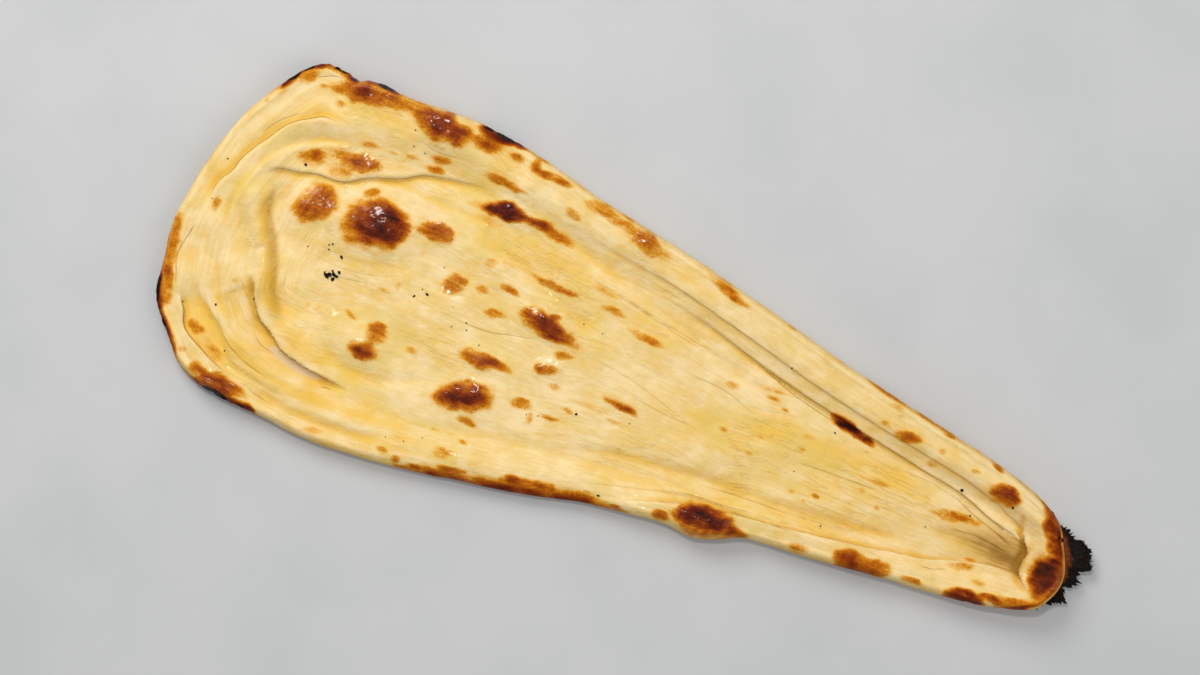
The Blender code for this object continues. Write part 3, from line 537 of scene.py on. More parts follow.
def skin_relief(points, flow, toast, inward, wet):
    """Fine height of the skin: hairlines, stretch marks that run with the dough, and small bubbles."""
    x, y = points.T
    fine = np.zeros(len(points))
    for depth, half_width, places in HAIRLINES:
        s, _, taper = near_run(points, places, 0.25, 0.75)
        fine -= 0.35 * taper * depth * bell(s, half_width)
    bend_x = x + 3 * mottle(x, y, 16, 16)
    bend_y = y + 3 * mottle(x, y, 16, 17)
    stretch = mottle(bend_x / 14, bend_y / 3.6, 1.0, 11)
    stretch += 0.6 * mottle(flow[:, 0] * 34, flow[:, 1] * 70, 1.0, 12)
    around = mottle(inward / 2.6, 0.5 * (x + y) / 16, 1.0, 18)
    around += 0.7 * mottle(inward / 5.5, 0.5 * (y - x) / 24, 1.0, 19)
    left = 1 - ease(x, -178, -140)
    fine += (0.12 * stretch * (1 - left) + 0.24 * around * left) * (1 - 0.7 * toast)
    fine += 0.30 * mottle(x, y, 11, 13) + 0.16 * mottle(x, y, 4.5, 14)
    fine += toast * (0.3 * mottle(x, y, 2.0, 15) + 0.2)
    fine += 0.2 * wet * mottle(x, y, 1.5, 20)
    return fine


def edge_lift(points):
    """How far the underside curls up at the edge beside each point."""
    return profile(*points.T, "lift")


def toast_field(points):
    """How browned each place is, from 0 to about 1."""
    u = 0.87 * points[:, 0] + 0.5 * points[:, 1]
    w = 0.87 * points[:, 1] - 0.5 * points[:, 0]
    bend_x = 1.6 * mottle(u, w, 6, 21) + 0.7 * mottle(w, u, 2.6, 22)
    bend_y = 1.4 * mottle(u, w, 6, 23) + 0.7 * mottle(w, u, 2.6, 24)
    clear = np.ones(len(points))
    for px, py, long_half, wide_half, turn, dark in TOASTED:
        uneven = min(1, 0.15 + 0.11 * np.sqrt(long_half * wide_half))
        x = points[:, 0] - px + uneven * bend_x
        y = points[:, 1] - py + uneven * bend_y
        near = (np.abs(x) < 1.7 * long_half) & (np.abs(y) < 1.7 * long_half)
        across, over = in_oval(x[near], y[near], long_half, wide_half, turn)
        r = (0.78 + 0.14 * min(1, wide_half / 6)) * np.sqrt(across ** 2 + over ** 2)
        clear[near] *= 1 - dark * (0.75 * (1 - ease(r, 0.2, 1.4)) + 0.25 * (1 - ease(r, 0.7, 1.15)))
    toast = 1 - clear
    streaks = mottle(points[:, 0] / 7, points[:, 1] / 1.8, 1.0, 25) + 0.7 * mottle(u, w, 3.2, 26)
    return np.clip(0.9 * toast ** 1.18 * (1 + 0.2 * streaks), 0, 1)


def edge_toast(points, inward):
    """Browning along the rim, deepest at the tip, beside burnt edges and on the lower side."""
    x, y = points.T
    upper = np.interp(x, *np.transpose(UPPER_RIM_BROWN))
    lower = np.interp(x, *np.transpose(LOWER_RIM_BROWN))
    amount = lower + (upper - lower) * ease(y, -25, 25)
    reach = 1.7 + 1.3 * mottle(x, y, 14, 31) + 6.5 * band(x, -95, -70, -5, 30) * (y < 0)
    reach = reach + 6 * ease(x, 196, 212) + 1.6 * burnt_reach(x, y)
    amount = np.maximum(amount, 0.85 * ease(burnt_reach(x, y), 0.3, 1.2))
    amount = amount * (1 + 0.5 * mottle(x, y, 6, 32))
    toast = np.clip(amount * (1 - ease(inward, 0.15 * reach, reach)), 0, 1)
    tip_line = ease(x, 208, 212) * (1 - ease(inward, 1.5, 2.8))
    return toast * (1 - tip_line) + 0.22 * tip_line, tip_line


def burnt_reach(x, y):
    """How far inwards the outline is burnt black at each place, before unevenness."""
    reach = 2.1 * band(x, -208, -201, -176, -170) * (y > 0)
    reach += 2.0 * band(x, -171, -166, -156, -148) * (y > 0)
    reach += 1.8 * band(x, -114, -108, -92, -86) * (y > 0)
    reach += 2.2 * band(-y, 33, 42, 62, 76) * (1 - ease(x, -206, -198))
    reach += 2.3 * band(x, -195, -188, -164, -156) * (y < 0)
    reach += 0.5 * band(x, 60, 120, 205, 212) * (y > 0)
    reach += 1.6 * band(x, 172, 176, 188, 194) * (y < 0)
    return reach


def char_field(points, inward):
    """Black burnt edges, from 0 to 1."""
    x, y = points.T
    reach = burnt_reach(x, y) * (1 + 0.6 * mottle(x, y, 4, 41))
    return np.clip((reach - inward) / 1.4, 0, 1)


def fold_shade(points):
    """Painted shade under and beside folds, along grooves and hairlines, and over the trough behind the tip,
    from 0 to 1.
    """
    shade = np.zeros(len(points))
    wide = {row[0]: row[1:] for row in WIDE_SHADE}
    for name, _, _, dip, _, sharp, _, places in FOLDS:
        s, along, taper = near_run(points, places, 0.2, 0.85)
        start, end, first, last = wide.get(name, (1.2, 1.2, 1.0 if sharp < CRISP else 0.0, 1.0))
        spread = start + (end - start) * along
        grow = first + (last - first) * along
        shade += taper * grow * 0.36 * np.where(s < 0, np.exp(s / spread), 0) * dip / 2.0
    for _, depth, half_width, places in GROOVES:
        s, _, taper = near_run(points, places)
        shade += taper * max(depth, 0) / 8 * bell(s, half_width)
    for depth, half_width, places in HAIRLINES:
        s, _, taper = near_run(points, places, 0.25, 0.75)
        shade += taper * 0.3 * depth * bell(s, half_width)
    x, y = points.T
    # Painted shade over the floor of the trough behind the tip, where the rim would shade it.
    trough = band(x, 140, 198, 202, 205) * (1 - ease(np.abs(y + 10.5), 3, 12))
    return np.clip(shade * (1 + 0.3 * mottle(x, y, 4, 81)) + 0.68 * trough, 0, 1)


def flank_shade(points):
    """Painted shade of the slope left of the thin middle, and how near each place is to the foot of that
    slope.
    """
    s, _, taper = near_run(points, FOLDS[1][-1])
    return 0.48 * taper * bell(s - 1.3, 3.0), taper * bell(s, 8)


def painted_crease_lines(points):
    """Signed distance to the closest crease in widths of its painted dark shade line, and how strongly that
    painted shade shows.
    """
    gap = np.full(len(points), 9.0)
    clear = np.zeros(len(points))
    lines = [(0.4, 0.3 + 0.3 * f[3], f[-1]) for f in FOLDS if f[5] < CRISP]
    lines += [(0.3, 1.3 * h[0], h[-1]) for h in HAIRLINES]
    for width, strength, places in lines:
        s, _, taper = near_run(points, places, 0.25, 0.75)
        closer = np.abs(s) / width < np.abs(gap)
        gap[closer] = s[closer] / width
        clear[closer] = np.minimum(strength, 1) * taper[closer]
    return np.clip(gap, -7, 7), clear * (np.abs(gap) < 5)


def hollow_field(height, n, m):
    """How far each place of the sheet lies below its surroundings, in millimetres."""
    rows = height.reshape(n + 1, m + 1)
    mean = rows
    for _ in range(HOLLOW_ROUNDS):
        mean = np.pad(mean, 1, mode="edge")
        beside = mean[2:, 1:-1] + mean[:-2, 1:-1] + mean[1:-1, 2:] + mean[1:-1, :-2]
        mean = 0.2 * (mean[1:-1, 1:-1] + beside)
    return (mean - rows).ravel()


def wet_field(points):
    """Where melted butter stands on the bread, from 0 to 1."""
    wet = np.zeros(len(points))
    for x, y, size, strength in WET:
        r = np.hypot(points[:, 0] - x, points[:, 1] - y) / size
        wet = np.maximum(wet, strength * (1 - ease(r, 0.4, 1.2)))
    return wet


def slit_field(points):
    """The bare, greyish lower layer that shows in the opening of the lower left overlap."""
    s, _, taper = near_run(points, SLIT, 0.25, 0.6)
    return np.clip(1.2 * taper * bell(s, 2.2), 0, 1)


def golden_field(points):
    """Where butter and folds turn the dough a deeper yellow, from 0 to 1; the band on the slope left of the
    thin middle is painted shade.
    """
    x, y = points.T
    gold = np.zeros(len(points))
    for half_width, strength, places in GOLDEN:
        s, _, taper = near_run(points, places, 0.15, 0.85)
        gold = np.maximum(gold, taper * strength * bell(s, half_width))
    return np.clip(gold * (1 + 0.3 * mottle(x, y, 7, 91)), 0, 1)


def grid_from_sides(lower, upper, left, tip):
    """Points of a sheet spanned between four boundary curves, rows running along the bread."""
    nu = len(lower) - 1
    nv = len(left) - 1
    u = np.linspace(0, 1, nu + 1)[:, None, None]
    v = np.linspace(0, 1, nv + 1)[None, :, None]
    sheet = (1 - v) * lower[:, None] + v * upper[:, None] + (1 - u) * left[None] + u * tip[None]
    low_ends = (1 - v) * ((1 - u) * lower[0] + u * lower[-1])
    high_ends = v * ((1 - u) * upper[0] + u * upper[-1])
    return sheet - low_ends - high_ends


def draw_to_folds(sheet):
    """Moves the nearest inner points sideways onto each fold and hairline, so that it is crisp."""
    flat = sheet[1:-1, 1:-1].reshape(-1, 2)
    taken = np.zeros(len(flat), bool)
    step = np.interp(flat[:, 0], [-230, -100, 0, 200], [0.98, 1.0, 0.76, 0.36])
    for run in [f[-1] for f in FOLDS if f[5] < CRISP] + [h[-1] for h in HAIRLINES]:
        s, _, nearest = to_run(flat, run)
        near = (np.abs(s) < 0.55 * step) & ~taken
        flat[near] = nearest[near] * 0.9 + flat[near] * 0.1
        taken |= near
    sheet[1:-1, 1:-1] = flat.reshape(sheet[1:-1, 1:-1].shape)
    return sheet


def hang_over(points):
    """Sideways move that lays each fold's upper layer over its lower one."""
    move = np.zeros_like(points)
    for *_, hang, places in FOLDS:
        s, along, nearest = to_run(points, places)
        taper = band(along, 0.05, 0.25, 0.75, 0.95)
        gap = points - nearest
        size = np.maximum(np.linalg.norm(gap, axis=1), 1e-6)
        away = gap / size[:, None] * np.sign(s)[:, None]
        pull = hang * taper * bell(s - 1.0, 3.5) * ease(s, -0.4, 0.5)
        move -= away * pull[:, None]
    return move


def ring_mean(values, reach):
    """Each value of a closed ring averaged with those up to reach places away."""
    return np.mean([np.roll(values, step) for step in range(-reach, reach + 1)], axis=0)


def bread_mesh():
    """The dough: a fine sheet between the four sides, its rounded rim, and the flat underside."""
    n = CELLS_LONG
    m = CELLS_WIDE
    lower = even_run(LOWER_SIDE, n)
    upper = even_run(UPPER_SIDE, n)
    left = even_run(LEFT_END, m)
    tip = even_run(TIP_END, m)
    loop = np.vstack([lower[:-1], tip[:-1], upper[:0:-1], left[:0:-1]])
    coarse = loop[::3]
    burnt = char_field(loop, np.zeros(len(loop)))
    ragged = 0.35 * mottle(loop[:, 0], loop[:, 1], 2.0, 51) * burnt
    ragged += 0.25 * mottle(loop[:, 0], loop[:, 1], 7, 52)
    loop = loop + outward(loop) * (ragged - 0.25)[:, None]
    top_loop = inset(loop, TOP_INSET)
    sides = (
        top_loop[:n + 1],
        top_loop[n + m:2 * n + m + 1][::-1],
        np.vstack([top_loop[2 * n + m:], top_loop[:1]])[::-1],
        top_loop[n:n + m + 1],
    )
    sheet = draw_to_folds(grid_from_sides(*sides)).reshape(-1, 2)
    inward = to_outline(sheet, coarse)
    flow = np.indices((n + 1, m + 1)).reshape(2, -1).T / (n, m)
    toast = toast_field(sheet)
    edge, tip_line = edge_toast(sheet, inward)
    form = top_height(sheet, coarse)
    wet = wet_field(sheet)
    height = form + skin_relief(sheet, flow, toast, inward, wet) * ease(inward, 0.5, 5)
    height = np.maximum(height, LEAST_THICK) + 0.6 * edge_lift(sheet) * (1 - ease(inward, 1, 6))
    height -= 0.75 * np.maximum(height - TIP_TOP, 0)
    moved = sheet + hang_over(sheet) * ease(inward, 2, 8)[:, None]
    toast = np.maximum(toast * (1 - tip_line), edge)
    char = char_field(sheet, inward)
    shade = fold_shade(sheet)
    slope, foot = flank_shade(sheet)
    # Painted shade and light of the relief: hollows turn a deeper yellow and darker, crests paler, except at
    # the foot of the slope left of the thin middle, which has its own painted shade.
    hollow = hollow_field(form, n, m) * ease(inward, 4, 9) * (1 - foot)
    gold = np.clip(golden_field(sheet) + 0.9 * np.clip(hollow, -0.6, 1), -0.6, 1.4)
    shade = np.clip(shade + slope + 0.2 * ease(hollow, 0.1, 0.9), 0, 1)
    gap, line = painted_crease_lines(sheet)
    fields = {
        "toast": toast, "char": char, "shade": shade, "gold": gold, "slit": slit_field(sheet), "wet": wet,
        "gap": gap, "line": line, "left": 1 - ease(sheet[:, 0], -178, -140), "inward": inward,
        "flow_u": flow[:, 0], "flow_v": flow[:, 1],
    }

    bm = bmesh.new()
    bmesh.ops.create_grid(bm, x_segments=n, y_segments=m, size=0.5)
    rim_index = bm.verts.layers.int.new("rim_index")
    layers = {name: bm.verts.layers.float.new(name) for name in [*fields, "under"]}
    ring = [(i, 0) for i in range(n)] + [(n, j) for j in range(m)]
    ring += [(i, m) for i in range(n, 0, -1)] + [(0, j) for j in range(m, 0, -1)]
    on_ring = {place: k for k, place in enumerate(ring)}
    for v in bm.verts:
        i = int(round((v.co.x + 0.5) * n))
        j = int(round((v.co.y + 0.5) * m))
        k = i * (m + 1) + j
        v[rim_index] = on_ring.get((i, j), -1)
        for name, field in fields.items():
            v[layers[name]] = field[k]
        v.co = (moved[k, 0] * MM, moved[k, 1] * MM, height[k] * MM)

    rim = np.zeros((3, len(ring)))
    for v in bm.verts:
        if v[rim_index] >= 0:
            rim[:, v[rim_index]] = v.co.z / MM, v[layers["toast"]], v[layers["char"]]
    rim_z, rim_toast, rim_char = rim
    soft_toast = ring_mean(ring_mean(rim_toast, 9), 6)
    soft_char = ring_mean(ring_mean(rim_char, 7), 5)
    lift = edge_lift(loop)
    # How far in each ring of the wall lies, its heights, and its shares of underside and softened browning.
    levels = [
        (0.45, lift + 0.78 * (rim_z - lift), 0.0, 0.25), (0.0, lift + 0.50 * (rim_z - lift), 0.0, 0.6),
        (0.5, lift + 0.22 * (rim_z - lift), 0.1, 0.85), (1.6, lift + 0.05 * (rim_z - lift), 0.5, 1.0),
        (4.0, 0.65 * lift, 1.0, 1.0), (7.0, 0.3 * lift, 1.0, 1.0),
        (10.0, 0.08 * lift, 1.0, 1.0), (13.0, 0 * lift, 1.0, 1.0),
    ]
    edges = [e for e in bm.edges if e.is_boundary]
    for depth, z, under, soft in levels:
        places = inset(loop, depth) if depth else loop
        grown = bmesh.ops.extrude_edge_only(bm, edges=edges)["geom"]
        verts = [g for g in grown if isinstance(g, bmesh.types.BMVert)]
        for v in verts:
            k = v[rim_index]
            v.co = (places[k, 0] * MM, places[k, 1] * MM, z[k] * MM)
            v[layers["under"]] = under
            brown = rim_toast[k] + (soft_toast[k] - rim_toast[k]) * soft
            # The wall stays at least lightly browned: partly the baked side, partly painted shade of the side
            # faces.
            v[layers["toast"]] = max(brown, 0.12) * (1 if under < 0.6 else 0.6)
            v[layers["char"]] = rim_char[k] + (soft_char[k] - rim_char[k]) * soft
        edges = [e for e in bm.edges if e.is_boundary and e.verts[0] in set(verts)]
    bmesh.ops.holes_fill(bm, edges=edges, sides=0)
    bmesh.ops.recalc_face_normals(bm, faces=bm.faces)
    bmesh.ops.triangulate(bm, faces=[f for f in bm.faces if len(f.verts) > 4])
    bmesh.ops.translate(bm, verts=bm.verts, vec=(-MID_X * MM, -MID_Y * MM, 0))
    uv = bm.loops.layers.uv.new("flow")
    for face in bm.faces:
        face.smooth = True
        for corner in face.loops:
            v = corner.vert
            corner[uv].uv = (v[layers["flow_u"]], v[layers["flow_v"]])
    return bm


def thicken(bm, thickness):
    """Makes open sheets closed flakes."""
    bmesh.ops.recalc_face_normals(bm, faces=bm.faces)
    bmesh.ops.solidify(bm, geom=bm.faces[:], thickness=thickness * MM)
    bmesh.ops.recalc_face_normals(bm, faces=bm.faces)
    return bm


def fringe_mesh():
    """The burnt dough beyond the tip: three torn flakes, one over the other, with toothed edges."""
    bm = bmesh.new()
    root = bm.verts.layers.float.new("root")
    hub = np.array(FRINGE_HUB, float)
    table = np.array(FRINGE, float)
    flakes = ((0.0, FRINGE_TOP, 61), (2.0, FRINGE_TOP + 1.7, 71), (3.6, FRINGE_TOP - 1.2, 81))
    for layer, (short, top, seed) in enumerate(flakes):
        made = bmesh.ops.create_grid(
            bm, x_segments=FRINGE_COLUMNS, y_segments=FRINGE_ROWS, size=0.5)["verts"]
        arc = FRINGE_STEP * np.arange(FRINGE_COLUMNS + 1)
        tooth = 1.9 * (1 - np.abs(mottle(arc, 7.0, 0.9, seed))) ** 3
        tooth += 0.6 * mottle(arc, 3.0, 0.45, seed + 3)
        for v in made:
            u = v.co.x + 0.5
            w = v.co.y + 0.5
            angle = table[0, 0] + (table[-1, 0] - table[0, 0]) * u
            reach = np.interp(angle, table[:, 0], table[:, 1]) - short - 0.9
            r = FRINGE_ROOT + (reach - FRINGE_ROOT) * w
            r += tooth[int(round(u * FRINGE_COLUMNS))] * ease(w, 0.72, 1)
            a = np.radians(angle + 1.2 * mottle(r, angle, 5, seed) * w)
            x = hub[0] + np.cos(a) * r
            y = hub[1] + np.sin(a) * r
            crust = 0.35 * mottle(x, y, 1.4, seed + 1) + mottle(x, y, 5, seed + 2)
            z = top + 1.2 - (2.6 + 0.6 * layer) * w + crust * (0.3 + 0.7 * w)
            v.co = ((x - MID_X) * MM, (y - MID_Y) * MM, z * MM)
            v[root] = 1 - ease(r, 20, 27)
    return thicken(bm, FLAKE_THICK)


def torn_flap_mesh(bread):
    """The small torn tongue of the upper layer that sticks out over the closed end of the trough."""
    bm = bmesh.new()
    across = (-0.35, -0.94)
    for v in bmesh.ops.create_grid(bm, x_segments=14, y_segments=8, size=0.5)["verts"]:
        u = v.co.x + 0.5
        w = 2 * v.co.y
        half_width = 2.3 * (1 - u) ** 0.6 + 0.25 * mottle(9 * u, 3 * w, 1.0, 95)
        x = 188.5 + 8.0 * u + across[0] * w * half_width
        y = 0.4 - 2.6 * u + across[1] * w * half_width
        at = ((x - MID_X) * MM, (y - MID_Y) * MM, 0.05)
        ground = bread.ray_cast(at, (0, 0, -1))[1].z
        v.co = (at[0], at[1], ground + (0.2 + 1.1 * u - 0.5 * w * w * u) * MM)
    return thicken(bm, FLAP_THICK)


def crumb_mesh(bread):
    """Burnt crumbs, each a small lumpy ball pressed onto the bread."""
    bm = bmesh.new()
    draw = np.random.default_rng(SEED + 5)
    for x, y, size in CRUMBS:
        size = 0.8 * size
        at = ((x - MID_X) * MM, (y - MID_Y) * MM, 0.05)
        place = bread.ray_cast(at, (0, 0, -1))[1]
        made = bmesh.ops.create_icosphere(bm, subdivisions=2, radius=0.5 * size * MM)["verts"]
        stretch = draw.uniform(0.6, 1.25, 3) * (1, 1, 0.7)
        turn = draw.uniform(0, 2 * np.pi)
        c = np.cos(turn)
        n = np.sin(turn)
        for v in made:
            bump = 1 + draw.uniform(-0.22, 0.22)
            px, py, pz = np.array(v.co) * stretch * bump
            v.co = (place.x + c * px - n * py, place.y + n * px + c * py, place.z + 0.2 * size * MM + pz)
    return bm


class Number:
    """A shader value that plain arithmetic works on."""

    def __init__(self, finish, socket):
        self.finish = finish
        self.socket = socket

    def math(self, operation, *values):
        node = self.finish.node("ShaderNodeMath", {"operation": operation}, dict(enumerate(values)))
        return Number(self.finish, node.outputs[0])

    def __add__(self, other):
        return self.math("ADD", self, other)

    def __sub__(self, other):
        return self.math("SUBTRACT", self, other)

    def __rsub__(self, other):
        return self.math("SUBTRACT", other, self)

    def __mul__(self, other):
        return self.math("MULTIPLY", self, other)

    __radd__ = __add__
    __rmul__ = __mul__

    def line(self, width):
        """1 where the value passes one half, fading to 0 within width of it."""
        gap = self - 0.5
        return 1 - gap.math("ABSOLUTE", gap).eased(0, width)

    def eased(self, low, high):
        """0 below low, 1 above high, and a smooth way between."""
        settings = {"interpolation_type": "SMOOTHSTEP"}
        sockets = {"Value": self, "From Min": low, "From Max": high}
        node = self.finish.node("ShaderNodeMapRange", settings, sockets)
        return Number(self.finish, node.outputs[0])


class Finish:
    """A surface finish and the few kinds of node that it is built from."""

    def __init__(self, name):
        self.material = bpy.data.materials.new(name)
        self.material.use_nodes = True
        self.tree = self.material.node_tree
        self.shader = self.tree.nodes["Principled BSDF"]
        self.place = self.node("ShaderNodeTexCoord").outputs["Object"]

    def node(self, kind, settings=None, sockets=None):
        node = self.tree.nodes.new(kind)
        for name, value in (settings or {}).items():
            if name == "stops":
                self.set_stops(node.color_ramp, value)
            else:
                setattr(node, name, value)
        for name, value in (sockets or {}).items():
            self.feed(node.inputs[name], value)
        return node

    def feed(self, socket, value):
        if isinstance(value, Number):
            value = value.socket
        if isinstance(value, bpy.types.NodeSocket):
            self.tree.links.new(value, socket)
        else:
            socket.default_value = value

    def set_stops(self, ramp, stops):
        while len(ramp.elements) < len(stops):
            ramp.elements.new(0.5)
        for element, (at, colour) in zip(ramp.elements, stops):
            element.position = at
            element.color = colour

    def value(self, name):
        return Number(self, self.node("ShaderNodeAttribute", {"attribute_name": name}).outputs["Fac"])

    def noise(self, size, detail=2.0, place=None, roughness=0.5, distortion=0.0):
        """Noise whose patches are about size millimetres across."""
        node = self.node("ShaderNodeTexNoise", {}, {
            "Vector": place or self.place, "Scale": 1 / (size * MM), "Detail": detail, "Roughness": roughness,
            "Distortion": distortion})
        return Number(self, node.outputs["Fac"])

    def streaks(self, place, scale, distortion):
        """Noise drawn out along the ways of place, given how often it changes along each."""
        stretched = self.node("ShaderNodeMapping", {}, {"Vector": place, "Scale": scale}).outputs["Vector"]
        sockets = {"Vector": stretched, "Scale": 1.0, "Detail": 3.5, "Distortion": distortion}
        return Number(self, self.node("ShaderNodeTexNoise", {}, sockets).outputs["Fac"])

    def blend(self, share, low, high):
        """Colour low where share is 0 and high where it is 1."""
        settings = {"data_type": "RGBA", "clamp_factor": True}
        node = self.node("ShaderNodeMix", settings, {0: share, 6: low, 7: high})
        return node.outputs[2]

    def layered(self, colour, layers):
        """The colour with each layer's tint laid over it by its share."""
        for share, levels in layers:
            colour = self.blend(share, colour, tint(*levels))
        return colour

    def ramp(self, share, stops):
        node = self.node("ShaderNodeValToRGB", {"stops": stops}, {"Fac": share})
        return node.outputs["Color"]

    def bump(self, height, distance, strength=1.0, under=None):
        sockets = {"Height": height, "Distance": distance * MM, "Strength": strength}
        if under is not None:
            sockets["Normal"] = under
        return self.node("ShaderNodeBump", {}, sockets).outputs["Normal"]

    def coat(self, **sockets):
        for name, value in sockets.items():
            self.feed(self.shader.inputs[name.replace("_", " ").title().replace("Ior", "IOR")], value)


def tint(red, green, blue):
    """A colour named in 0 to 255 as a screen shows it, turned into the light it stands for."""
    row = []
    for level in (red, green, blue):
        share = level / 255
        row.append(share / 12.92 if share <= 0.04045 else ((share + 0.055) / 1.055) ** 2.4)
    return (*row, 1.0)


def dough_finish():
    """Buttered dough: pale to golden, brown where toasted, black where burnt, scorched below, with painted
    shade in folds, creases and hollows.
    """
    f = Finish("baked_dough")
    flow = f.node("ShaderNodeUVMap", {"uv_map": "flow"}).outputs["UV"]
    left = f.value("left")
    flat_place = f.node("ShaderNodeMapping", {}, {"Vector": f.place, "Scale": (22, 22, 0)}).outputs["Vector"]
    rings = f.node("ShaderNodeCombineXYZ", {}, {"Z": f.value("inward") * 0.22}).outputs["Vector"]
    around_place = f.node(
        "ShaderNodeVectorMath", {"operation": "ADD"}, {0: flat_place, 1: rings}).outputs["Vector"]
    around = f.streaks(around_place, (1, 1, 1), 0.4)
    fine_around = f.streaks(around_place, (2.4, 2.4, 3.2), 0.6)
    streak = f.streaks(flow, (9, 22, 1), 1.2) * (1 - left) + around * left
    fine_streak = f.streaks(flow, (30, 70, 1), 1.6) * (1 - left) + fine_around * left
    crease = f.streaks(flow, (13, 34, 1), 0.7) * (1 - left) + around * left
    patch = f.noise(38, 3.0, distortion=0.6)
    cloud = f.noise(11, 4.0, distortion=0.5)
    pebble = f.noise(1.5, 2.0, roughness=0.6)
    grain = f.noise(0.7, 2.0)
    shade = f.value("shade")
    gold = f.value("gold")
    gap = f.value("gap")
    # Painted dark shade line along each crease.
    line = (1 - gap.math("ABSOLUTE", gap).eased(0.35, 1.0)) * f.value("line")

    # Butter patches; gold also brings in the painted shade and light of the hollows and the flank slope.
    butter = (patch * 0.7 + streak * 0.55 + cloud * 0.35 + gold * 0.42).eased(0.71, 1.25)
    uneven = (cloud * 0.5 + fine_streak * 0.5).eased(0.36, 0.64)
    pale = f.blend(uneven, tint(248, 221, 166), tint(237, 203, 132))
    thin = crease.line(0.02) * patch.eased(0.46, 0.66)
    # Painted shade of folds, grooves, hairlines, hollows and the trough, streaked along the dough.
    painted_shade = shade + (fine_streak - 0.5) * 0.7 * shade
    dough = f.layered(pale, [
        (butter, (241, 195, 90)),
        (f.noise(27, 3.0, distortion=0.8).eased(0.5, 0.7) * 0.5, (230, 200, 104)),
        (thin * 0.22, (204, 156, 78)),
        # Two tints of painted shade, then the slit, then the painted dark crease lines.
        (painted_shade.eased(0.03, 0.55) * 0.6, (214, 164, 62)),
        (painted_shade.eased(0.4, 0.95) * 0.8, (140, 96, 30)),
        (f.value("slit").eased(0.2, 0.8) * 0.85, (226, 198, 158)),
        (line * (0.25 + cloud * 1.1), (146, 92, 26)),
    ])

    toast = f.value("toast")
    rough_edge = toast.eased(0.05, 0.35)
    speckle = (grain - 0.5) * 0.24 + (pebble - 0.5) * 0.26
    speckle = speckle + (cloud - 0.5) * 0.45 + (fine_streak - 0.5) * 0.25
    toast = toast + speckle * rough_edge
    browned = f.ramp(toast, [
        (0.0, tint(244, 198, 96)), (0.14, tint(235, 174, 58)), (0.3, tint(218, 145, 30)),
        (0.46, tint(188, 102, 12)), (0.64, tint(141, 56, 4)), (0.82, tint(98, 28, 4)),
        (1.0, tint(48, 16, 10)),
    ])
    face = f.blend(toast.eased(0.01, 0.34), dough, browned)

    under = f.value("under")
    scorch = (f.noise(16, 4.0, distortion=0.6) + (grain - 0.5) * 0.12).eased(0.56, 0.72)
    base = f.blend((cloud + patch * 0.5).eased(0.5, 1.0), tint(232, 190, 122), tint(216, 164, 88))
    base = f.blend(scorch, base, f.ramp(scorch * 0.9 + (pebble - 0.5) * 0.3, [
        (0.0, tint(214, 150, 70)), (0.5, tint(168, 94, 34)), (1.0, tint(92, 44, 22))]))
    surface = f.blend(under.eased(0.2, 0.9), face, base)

    char = (f.value("char") + (pebble - 0.5) * 0.6).eased(0.25, 0.65)
    black = f.blend(grain.eased(0.4, 0.8), tint(22, 13, 9), tint(62, 38, 25))
    colour = f.blend(char, surface, black)

    gloss = toast.eased(0.15, 0.5)
    butter_film = f.value("wet")
    wet = (patch * 0.3 + cloud * 0.6 + butter_film * 0.3 + gloss * 0.06).eased(0.53, 0.7)
    rough = 0.6 - wet * 0.2 + (pebble - 0.5) * 0.1 + char * 0.4 + under * 0.12
    height = grain * 0.18 + pebble * (0.3 + 0.4 * gloss + 0.7 * wet)
    height = height + fine_streak * 0.35 + cloud * 0.8 - thin * 0.2 - line * 0.25
    height = height + f.noise(3.4, 2.0) * 0.6 + char * pebble * 0.8
    f.coat(base_color=colour, roughness=rough, metallic=0.0, normal=f.bump(height, 0.6, 0.85))
    f.coat(subsurface_weight=0.1, subsurface_scale=0.002, specular_ior_level=0.06)
    f.coat(coat_weight=wet * 0.22 + butter_film * (1 - gloss) * 0.4, coat_roughness=0.13)
    f.shader.inputs["Subsurface Radius"].default_value = (1.0, 0.5, 0.2)
    return f.material


def char_finish(name, warm):
    """Burnt dough: black crust with grey ash, red-brown where it leaves the bread."""
    f = Finish(name)
    crust = f.noise(2.2, 4.0, roughness=0.65)
    ash = f.noise(0.8, 3.0)
    black = f.blend(ash.eased(0.45, 0.8), tint(16, 11, 9), tint(52, 38, 30))
    colour = f.blend(crust.eased(0.55, 0.8) * warm, black, tint(92, 46, 26))
    root = (f.value("root") + (crust - 0.5) * 1.1).eased(0.35, 0.9)
    colour = f.blend(root, colour, f.blend(ash.eased(0.3, 0.7), tint(104, 44, 20), tint(150, 78, 36)))
    f.coat(base_color=colour, roughness=0.75 + (ash - 0.5) * 0.3, metallic=0.0,
           normal=f.bump(crust * 0.8 + ash * 0.4, 0.6, 1.0))
    f.coat(specular_ior_level=0.12)
    return f.material


def floor_finish():
    f = Finish("pale_floor")
    cloud = f.noise(90, 4.0)
    colour = f.blend(cloud.eased(0.35, 0.7), tint(203, 203, 203), tint(196, 197, 197))
    f.coat(base_color=colour, roughness=0.85 + (cloud - 0.5) * 0.05, metallic=0.0)
    return f.material


def add_piece(name, bm, finish):
    mesh = bpy.data.meshes.new(name)
    bm.to_mesh(mesh)
    bm.free()
    ob = bpy.data.objects.new(name, mesh)
    bpy.context.scene.collection.objects.link(ob)
    mesh.materials.append(finish)
    return ob


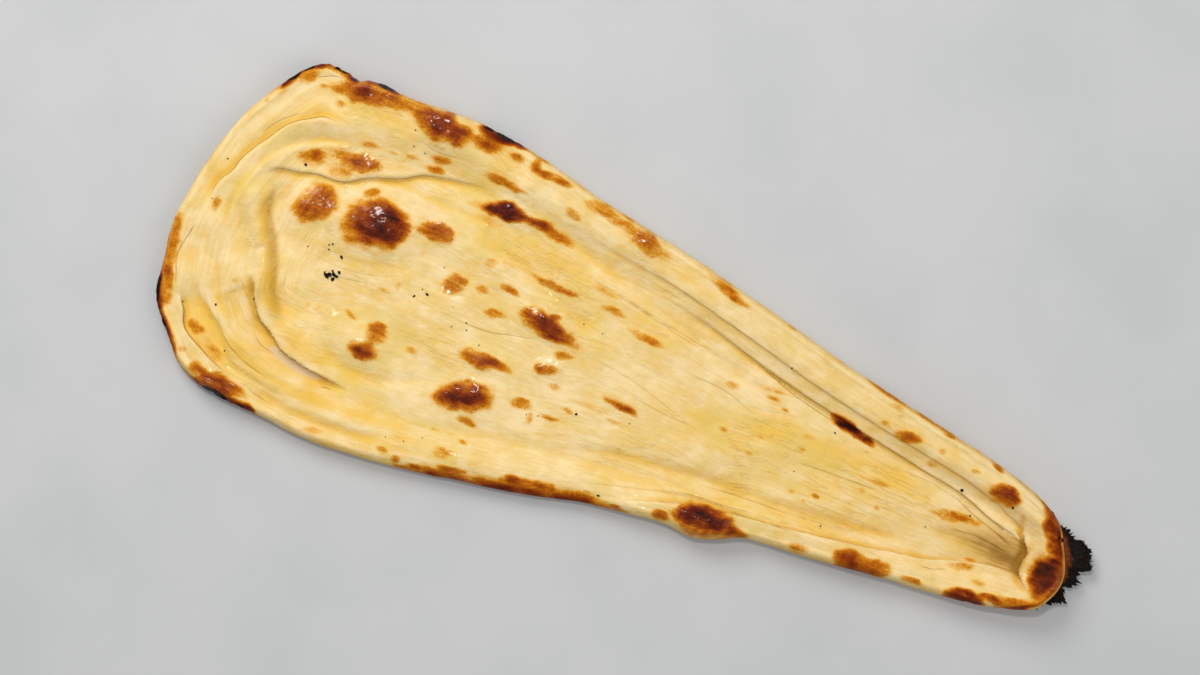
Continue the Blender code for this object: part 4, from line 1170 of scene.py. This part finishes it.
def add_light(name, place, aim, size, power, colour):
    data = bpy.data.lights.new(name, "AREA")
    data.shape = "DISK"
    data.size = size
    data.energy = power
    data.color = colour
    ob = bpy.data.objects.new(name, data)
    bpy.context.scene.collection.objects.link(ob)
    ob.location = place
    ob.rotation_euler = (Vector(aim) - Vector(place)).to_track_quat("-Z", "Y").to_euler()
    return ob


def dress():
    bread = add_piece("bread", bread_mesh(), dough_finish())
    fringe = add_piece("charred_fringe", fringe_mesh(), char_finish("burnt_fringe", 0.35))
    crumbs = add_piece("burnt_crumbs", crumb_mesh(bread), char_finish("burnt_crumb", 0.6))
    flap = add_piece("torn_flap", torn_flap_mesh(bread), bread.data.materials[0])
    for ob in (fringe, crumbs):
        for face in ob.data.polygons:
            face.use_smooth = False
    for ob in (bread, fringe, crumbs, flap):
        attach(ob, "root")
    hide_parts("naan")
    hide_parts("naan")


def studio():
    bm = bmesh.new()
    bmesh.ops.create_grid(bm, x_segments=2, y_segments=2, size=3.0)
    floor = add_piece("floor", bm, floor_finish())
    floor.location.z = -0.0005
    add_light("key", (-0.95, 0.85, 1.15), (0, 0, 0), 0.9, 15.8, (1.0, 0.99, 0.97))
    add_light("fill", (1.0, -0.2, 1.1), (0, 0, 0), 1.0, 4.0, (0.98, 0.99, 1.0))
    add_light("sparkle", (-0.3, 0.35, 1.5), (0, 0, 0), 0.12, 5.5, (1.0, 0.99, 0.97))
    world = bpy.data.worlds.new("soft_room")
    bpy.context.scene.world = world
    world.use_nodes = True
    world.node_tree.nodes["Background"].inputs["Color"].default_value = (0.94, 0.97, 1.0, 1.0)
    world.node_tree.nodes["Background"].inputs["Strength"].default_value = 0.34
    bpy.context.scene.view_settings.view_transform = "Standard"
    data = bpy.data.cameras.new("overhead")
    data.lens = LENS
    data.sensor_width = SENSOR
    camera = bpy.data.objects.new("overhead", data)
    bpy.context.scene.collection.objects.link(camera)
    camera.location = ((-22.3 - MID_X) * MM, (11.9 - MID_Y) * MM, VIEW_WIDTH / SENSOR * LENS + 0.008)
    camera.rotation_euler = (0, 0, np.radians(VIEW_TURN))
    bpy.context.scene.camera = camera


dress()
studio()
